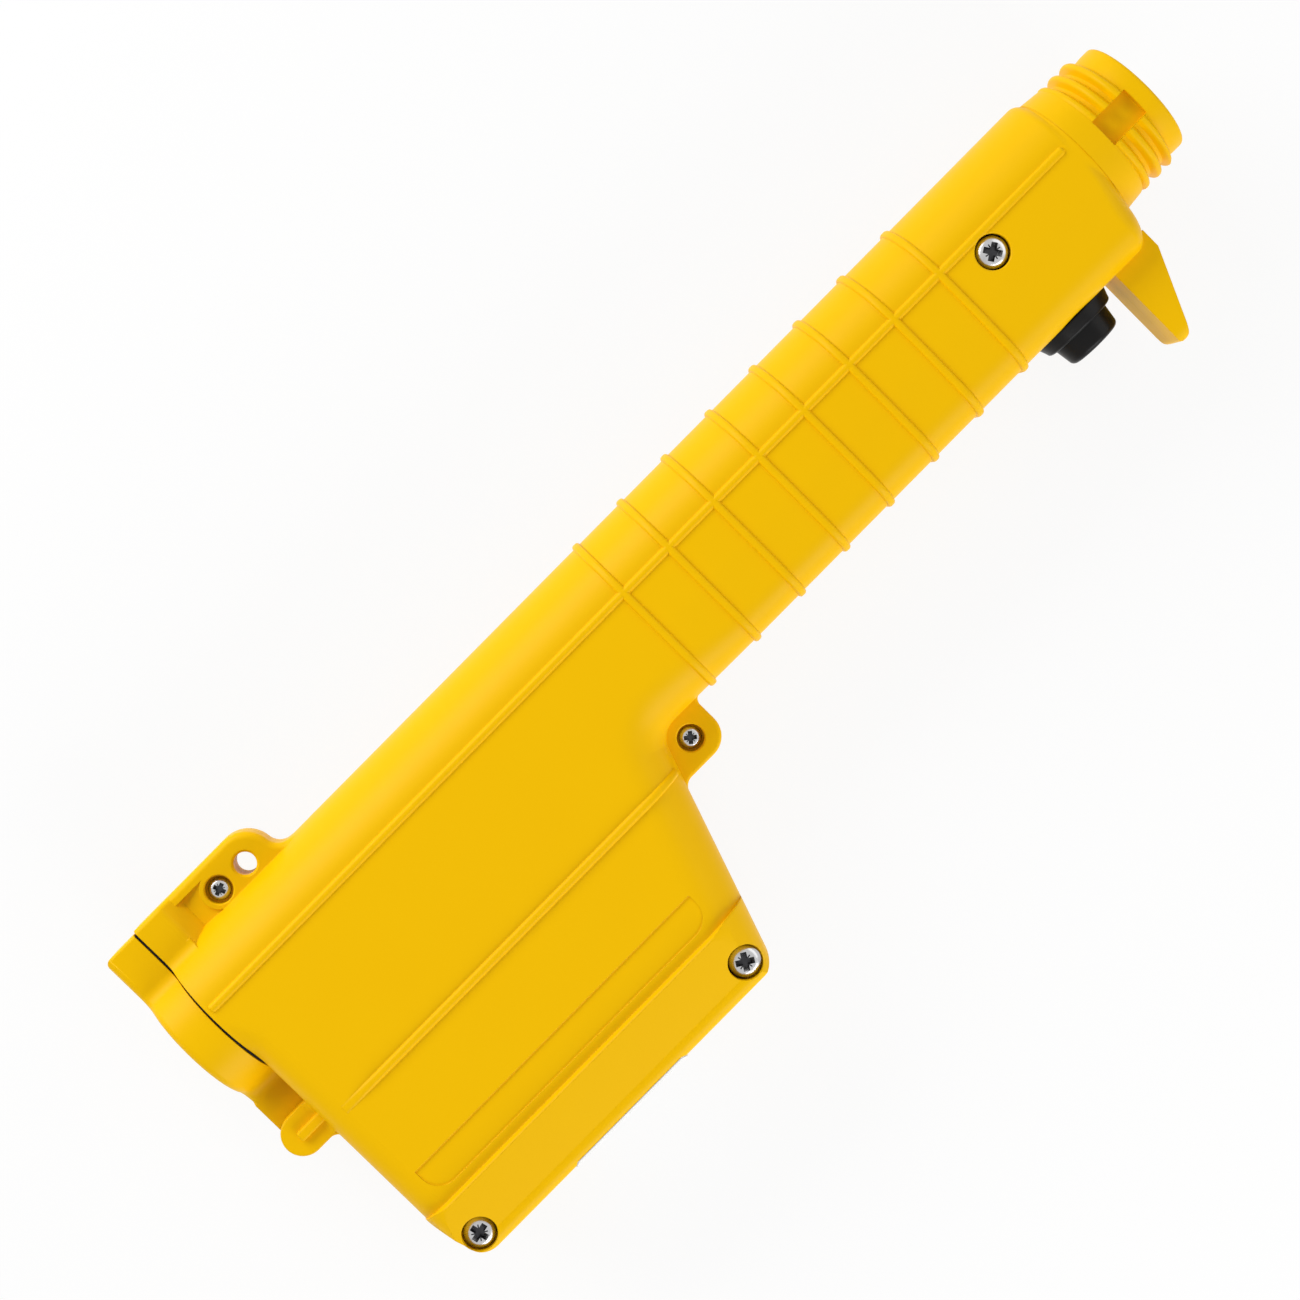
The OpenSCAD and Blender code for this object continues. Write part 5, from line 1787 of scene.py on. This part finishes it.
@dataclass
class Screws:
    """Pan head screws with a cross recess.

    Attributes are sizes in millimetres or, for the shape of the head and its recess, shares of the head's
    radius and height.
    """

    large: ScrewSize = ScrewSize(4.0, 2.6, 2.1, 22.0)
    small: ScrewSize = ScrewSize(2.8, 2.0, 1.4, 5.4)
    foot_edge: float = 0.1
    round_h: float = 0.75
    round_r: float = 0.55
    crown: float = 0.02
    recess_l: float = 0.66
    recess_w: float = 0.2
    recess_h: float = 0.72
    recess_foot: Point = (0.5, 0.75)
    recess_over: float = 0.6
    tick_l: float = 0.5
    tick_w: float = 0.04
    tick_depth: float = 0.25
    # Shares of the head's radius and height that bound the recess faces painted dark as shade.
    dark_from: float = 0.1
    dark_to: float = 0.95
    dark_flat: float = 0.4
    smooth_angle: float = 40.0

    def head(self, size: ScrewSize) -> bpy.types.Object:
        """Turns one screw without its recess, seated at the origin.

        Args:
            size: Sizes of the screw.

        Returns:
            The screw.
        """
        radius, height, edge = size.head_r, size.head_h, self.foot_edge
        profile = [(-size.shank_l, 0.0), (-size.shank_l, size.shank_r), (0.0, size.shank_r)]
        profile += [(0.0, radius - edge), (edge, radius)]
        for step in range(8):
            turn = math.radians(90 * step / 7)
            rise = height - height * self.round_h * (1 - math.sin(turn))
            profile.append((rise, radius - radius * self.round_r * (1 - math.cos(turn))))
        profile.append((height + self.crown, 0.0))
        return Bench.turned("screw", profile, "Z", (0, 0, 0), SCREW_STEPS)

    def screw(self, size: ScrewSize) -> bpy.types.Object:
        """Makes one screw that is seated at the origin.

        Args:
            size: Sizes of the screw.

        Returns:
            The screw.
        """
        screw = self.head(size)
        height = size.head_h
        long, wide, deep = size.head_r * self.recess_l, size.head_r * self.recess_w, height * self.recess_h
        tick_l, tick_w = size.head_r * self.tick_l, size.head_r * self.tick_w
        for turn in (0, 90):
            arm = Bench.block("arm", (-long, -wide, height - deep), (long, wide, height + self.recess_over))
            for vertex in arm.data.vertices:
                if vertex.co.z < height * MM:
                    vertex.co.x *= self.recess_foot[0]
                    vertex.co.y *= self.recess_foot[1]
            low, high = (-tick_l, -tick_w, height - self.tick_depth), (tick_l, tick_w, height + 1)
            for tool, angle in ((arm, turn), (Bench.block("tick", low, high), turn + 45)):
                tool.data.transform(Matrix.Rotation(math.radians(angle), 4, "Z"))
                Bench.combine(screw, Join.CUT, tool)
        return Bench.smooth(screw, self.smooth_angle)

    def darken(
        self, row: bpy.types.Object, size: ScrewSize, seats: Sequence[Seat], dark: bpy.types.Material
    ) -> None:
        """Paints the shade in the recesses of a row of screws, as a second, near-black finish.

        Args:
            row: The dressed row.
            size: Sizes of its screws.
            seats: Seats of its screws.
            dark: Near-black finish that paints the shade in the recesses.
        """
        row.data.materials.append(dark)
        for face in row.data.polygons:
            middle = face.center / MM
            reach, lift = min(
                (math.dist(middle[:2], seat.place) / size.head_r, (middle.z - seat.floor) / size.head_h)
                for seat in seats
            )
            top = self.dark_to - max(0.0, reach - self.dark_flat)
            if reach < self.recess_l and self.dark_from < lift < top:
                face.material_index = 1

    def row(self, name: str, one: bpy.types.Object, seats: Sequence[Seat]) -> bpy.types.Object:
        """Joins copies of one screw.

        Args:
            name: Name of the row.
            one: Screw at the origin, which is used up.
            seats: Seats of the screws.

        Returns:
            All screws as one piece.
        """
        copies = []
        for seat in seats:
            place = Matrix.Translation(Vector((*seat.place, seat.floor)) * MM)
            copies.append(Bench.copy(one, name, place @ Matrix.Rotation(math.radians(seat.turn), 4, "Z")))
        bpy.data.objects.remove(one)
        Bench.hold(copies[0])
        for twin in copies[1:]:
            twin.select_set(True)
        bpy.ops.object.join()
        return copies[0]

    def build(self, finishes: Finishes) -> None:
        """Makes both rows of screws.

        Args:
            finishes: Materials to dress them with.
        """
        for name, size, seats, node in (
            ("case_screws", self.large, LARGE_SEATS, "large_screws"),
            ("ear_screws", self.small, SMALL_SEATS, "small_screws"),
        ):
            row = self.row(name, self.screw(size), seats)
            finishes.hand_over(row, "zinc_steel", "handle", node)
            # The recess faces get a near-black finish that paints their shade.
            self.darken(row, size, seats, finishes.made["recess_painted_shade"])


@dataclass
class Inside:
    """Pieces inside the case and behind the door, and the label.

    Attributes are the finishes of the kept pieces, and sizes in millimetres.
    """

    kept: dict[str, str] = field(default_factory=lambda: {
        "contact_carrier": "insulator_grey", "nose_contacts": "contact_brass", "door_gasket": "rubber_black",
        "door_hinge_pin": "zinc_steel", "door_contact_plate": "zinc_steel", "front_contact": "zinc_steel",
        "return_strip": "contact_brass", "switch_nut": "zinc_steel", "switch_body": "insulator_grey",
        "switch_terminals": "zinc_steel", "circuit_board": "board_green", "transformer_core": "core_grey",
        "transformer_winding": "winding_copper", "capacitor": "component_dark",
        "power_transistor": "component_dark", "output_leads": "lead_red", "switch_leads": "lead_black",
        "battery_lead": "lead_red",
    })
    cell_count: int = 4
    cell_rear_x: float = -296.8
    cell_pitch: float = 50.1
    cell_r: float = 13.1
    cell_l: float = 48.4
    cell_rim: float = 1.0
    cell_base: tuple[Point, ...] = ((0.35, 0.0), (0.35, 9.6), (0.0, 10.0), (0.0, 11.4))
    cell_cap: tuple[Point, ...] = (
        (48.4, 11.0), (47.9, 10.4), (47.9, 4.2), (48.3, 3.3), (49.6, 3.3), (50.0, 2.9), (50.0, 0.0),
    )
    cell_bare_r: float = 10.9
    cell_bare_l: float = 0.2
    press: float = 2.5
    label_x: Point = (-272.9, -235.9)
    label_half_w: float = 14.7
    label_corner: float = 2.0
    label_bend: Point = (-80.0, 12.5)
    label_bend_r: Point = (3.25, 3.0)
    label_lap: float = 136.0

    def cells(self, finishes: Finishes) -> None:
        """Makes the cells with a rolled rim at each end.

        Args:
            finishes: Materials to dress them with.
        """
        rim, radius = self.cell_rim, self.cell_r - self.cell_rim
        profile = list(self.cell_base) + arc((rim, radius), rim, 180, 90, 6)
        profile += arc((self.cell_l - rim, radius), rim, 90, 0, 6) + list(self.cell_cap)
        one = Bench.smooth(Bench.turned("cell", profile, "X", (0, 0, 0)))
        for k in range(self.cell_count):
            rear = (self.cell_rear_x + k * self.cell_pitch) * MM
            cell = Bench.copy(one, f"cell_skin_{k + 1}", Matrix.Translation((rear, 0, 0)))
            finishes.hand_over(cell, "cell_jacket", "handle", f"cell_{k + 1}")
            cell.data.materials.append(finishes.made["zinc_steel"])
            for face in cell.data.polygons:
                out = math.hypot(face.center.y, face.center.z)
                if out < self.cell_bare_r * MM or face.center.x < rear + self.cell_bare_l * MM:
                    face.material_index = 1
        bpy.data.objects.remove(one)

    def spring(self, finishes: Finishes, node: str, name: str, body: str) -> bpy.types.Object:
        """Rounds the wire of a spring.

        Args:
            finishes: Materials to dress it with.
            node: Node of the spring.
            name: Name of the new piece.
            body: Body that it rides on.

        Returns:
            The new piece.
        """
        spring = Bench.copy(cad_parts[node], name, Matrix())
        with Bench.editing(spring):
            Bench.tidy()
        Bench.shape(spring, "SUBSURF", levels=2, render_levels=2)
        bpy.ops.object.shade_smooth()
        return finishes.hand_over(spring, "spring_steel", body, node)

    def label(self, finishes: Finishes) -> None:
        """Makes the blank label, which laps over the lower edges of the case.

        Args:
            finishes: Materials to dress it with.
        """
        outer, inner = (arc(self.label_bend, r, self.label_lap, 180, 8) for r in self.label_bend_r)
        label = Bench.prism(
            "label_film", mirrored(outer) + mirrored(inner)[::-1], Plane.SECTION, *self.label_x
        )
        radius, wide = self.label_corner, self.label_half_w - self.label_corner
        rear, front = self.label_x[0] + radius, self.label_x[1] - radius
        corners = ((front, wide), (rear, wide), (rear, -wide), (front, -wide))
        plan = [p for k, corner in enumerate(corners) for p in arc(corner, radius, 90 * k, 90 * k + 90, 8)]
        Bench.combine(label, Join.COMMON, Bench.prism("label_plan", plan, Plane.PLAN, -FAR, 0))
        finishes.hand_over(Bench.smooth(label), "label_white", "handle", "blank_label")

    def build(self, finishes: Finishes) -> None:
        """Makes the new pieces and dresses the kept ones.

        Args:
            finishes: Materials to dress them with.
        """
        self.cells(finishes)
        self.spring(finishes, "battery_spring", "battery_coil", "door")
        coil = self.spring(finishes, "button_spring", "button_coil", "handle")
        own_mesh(coil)
        self.label(finishes)
        for node, slot in self.kept.items():
            finishes.dress(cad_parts[node], slot)
            LOG.info("%s: kept, %s", node, slot)


@dataclass
class Studio:
    """Floor, lamps and camera.

    Attributes are in metres, degrees and watts; each lamp has a name, its direction round the handle, its
    rise over the floor and its power.
    """

    target: tuple[float, float, float] = (-0.1745, -0.0106, 0.0)
    distance: float = 0.7234
    tilt: float = 3.8
    roll: float = 45.3
    lens: float = 84.3
    sensor: float = 36.0
    clip: float = 0.01
    floor_at: tuple[float, float, float] = (-0.16, -0.03, -0.0195)
    floor_r: float = 0.98
    floor_sides: int = 128
    floor_pale: Colour = (0.86, 0.86, 0.86)
    floor_speck: Colour = (0.84, 0.84, 0.84)
    floor_glow: float = 0.88
    lamp_over: tuple[float, float, float] = (-0.33, -0.0106, 0.0)
    lamp_away: float = 0.9
    lamp_size: tuple[float, float] = (0.9, 0.45)
    lamps: tuple[tuple[str, float, float, float], ...] = (
        ("key", 96, 26, 8.1), ("fill", -88, 22, 6.2), ("side", -8, 26, 1.1),
    )
    sky: float = 0.38

    def floor(self) -> None:
        """Lays the pale floor, which keeps a soft shadow."""
        bpy.ops.object.select_all(action="DESELECT")
        bpy.ops.mesh.primitive_circle_add(
            vertices=self.floor_sides, radius=self.floor_r, fill_type="NGON", location=(0, 0, 0)
        )
        plane = bpy.context.object
        plane.name = "floor"
        plane.data.transform(Matrix.Translation(self.floor_at))
        graph = Graph(bpy.data.materials.new("floor_pale"))
        shade = graph.blend(graph.noise(40, 2) * 0.3, solid(self.floor_pale), solid(self.floor_speck))
        plane.data.materials.append(graph.end(graph.node(
            "MixShader", "Shader", Fac=graph.seen() * self.floor_glow,
            Shader=graph.node("BsdfDiffuse", "BSDF", Color=shade),
            Shader_001=graph.node("Emission", "Emission", Color=WHITE, Strength=1.0),
        )))

    def lamp(self, name: str, turn: float, rise: float, power: float) -> None:
        """Stands a soft lamp that faces the handle.

        Args:
            name: Name of the lamp.
            turn: Direction round the handle, in degrees from +X to +Y.
            rise: Height over the floor as an angle, in degrees.
            power: Power in watts.
        """
        data = bpy.data.lights.new(name, "AREA")
        data.shape = "RECTANGLE"
        data.size, data.size_y = self.lamp_size
        data.energy = power
        lamp = bpy.data.objects.new(name, data)
        bpy.context.scene.collection.objects.link(lamp)
        out = Matrix.Rotation(math.radians(turn), 3, "Z") @ Matrix.Rotation(-math.radians(rise), 3, "Y")
        away = out @ Vector((self.lamp_away, 0, 0))
        facing = (-away).to_track_quat("-Z", "Y").to_matrix().to_4x4()
        lamp.matrix_world = Matrix.Translation(Vector(self.lamp_over) + away) @ facing

    def world(self) -> None:
        """Sets an even white sky, which is brighter where it is seen than in the light that it gives."""
        world = bpy.data.worlds.new("sky")
        bpy.context.scene.world = world
        graph = Graph(world)
        strength = self.sky + graph.seen() * (1 - self.sky)
        graph.end(graph.node("Background", "Background", Color=WHITE, Strength=strength))

    def camera(self) -> None:
        """Places the camera at the angle of the picture."""
        data = bpy.data.cameras.new("camera")
        data.lens = self.lens
        data.sensor_width = self.sensor
        data.clip_start = self.clip
        camera = bpy.data.objects.new("camera", data)
        bpy.context.scene.collection.objects.link(camera)
        tilt, roll = math.radians(self.tilt), math.radians(self.roll)
        back = Vector((0, math.sin(tilt), math.cos(tilt)))
        level = Vector((1, 0, 0))
        rise = back.cross(level)
        right = level * math.cos(roll) - rise * math.sin(roll)
        up = level * math.sin(roll) + rise * math.cos(roll)
        turn = Matrix((right, up, back)).transposed().to_4x4()
        camera.matrix_world = Matrix.Translation(Vector(self.target) + back * self.distance) @ turn
        bpy.context.scene.camera = camera

    def build(self) -> None:
        """Builds the studio."""
        self.world()
        self.floor()
        for lamp in self.lamps:
            self.lamp(*lamp)
        self.camera()
        bpy.context.scene.view_settings.view_transform = "Standard"


def main() -> None:
    """Builds the handle piece by piece, then the studio."""
    logging.basicConfig(level=logging.INFO, format="%(message)s")
    finishes = Finishes()
    finishes.build()
    for group in (Case(), Nose(), Door(), Button(), Screws(), Inside()):
        LOG.info("building %s", type(group).__name__)
        group.build(finishes)
    Studio().build()


if __name__ == "__main__":
    main()
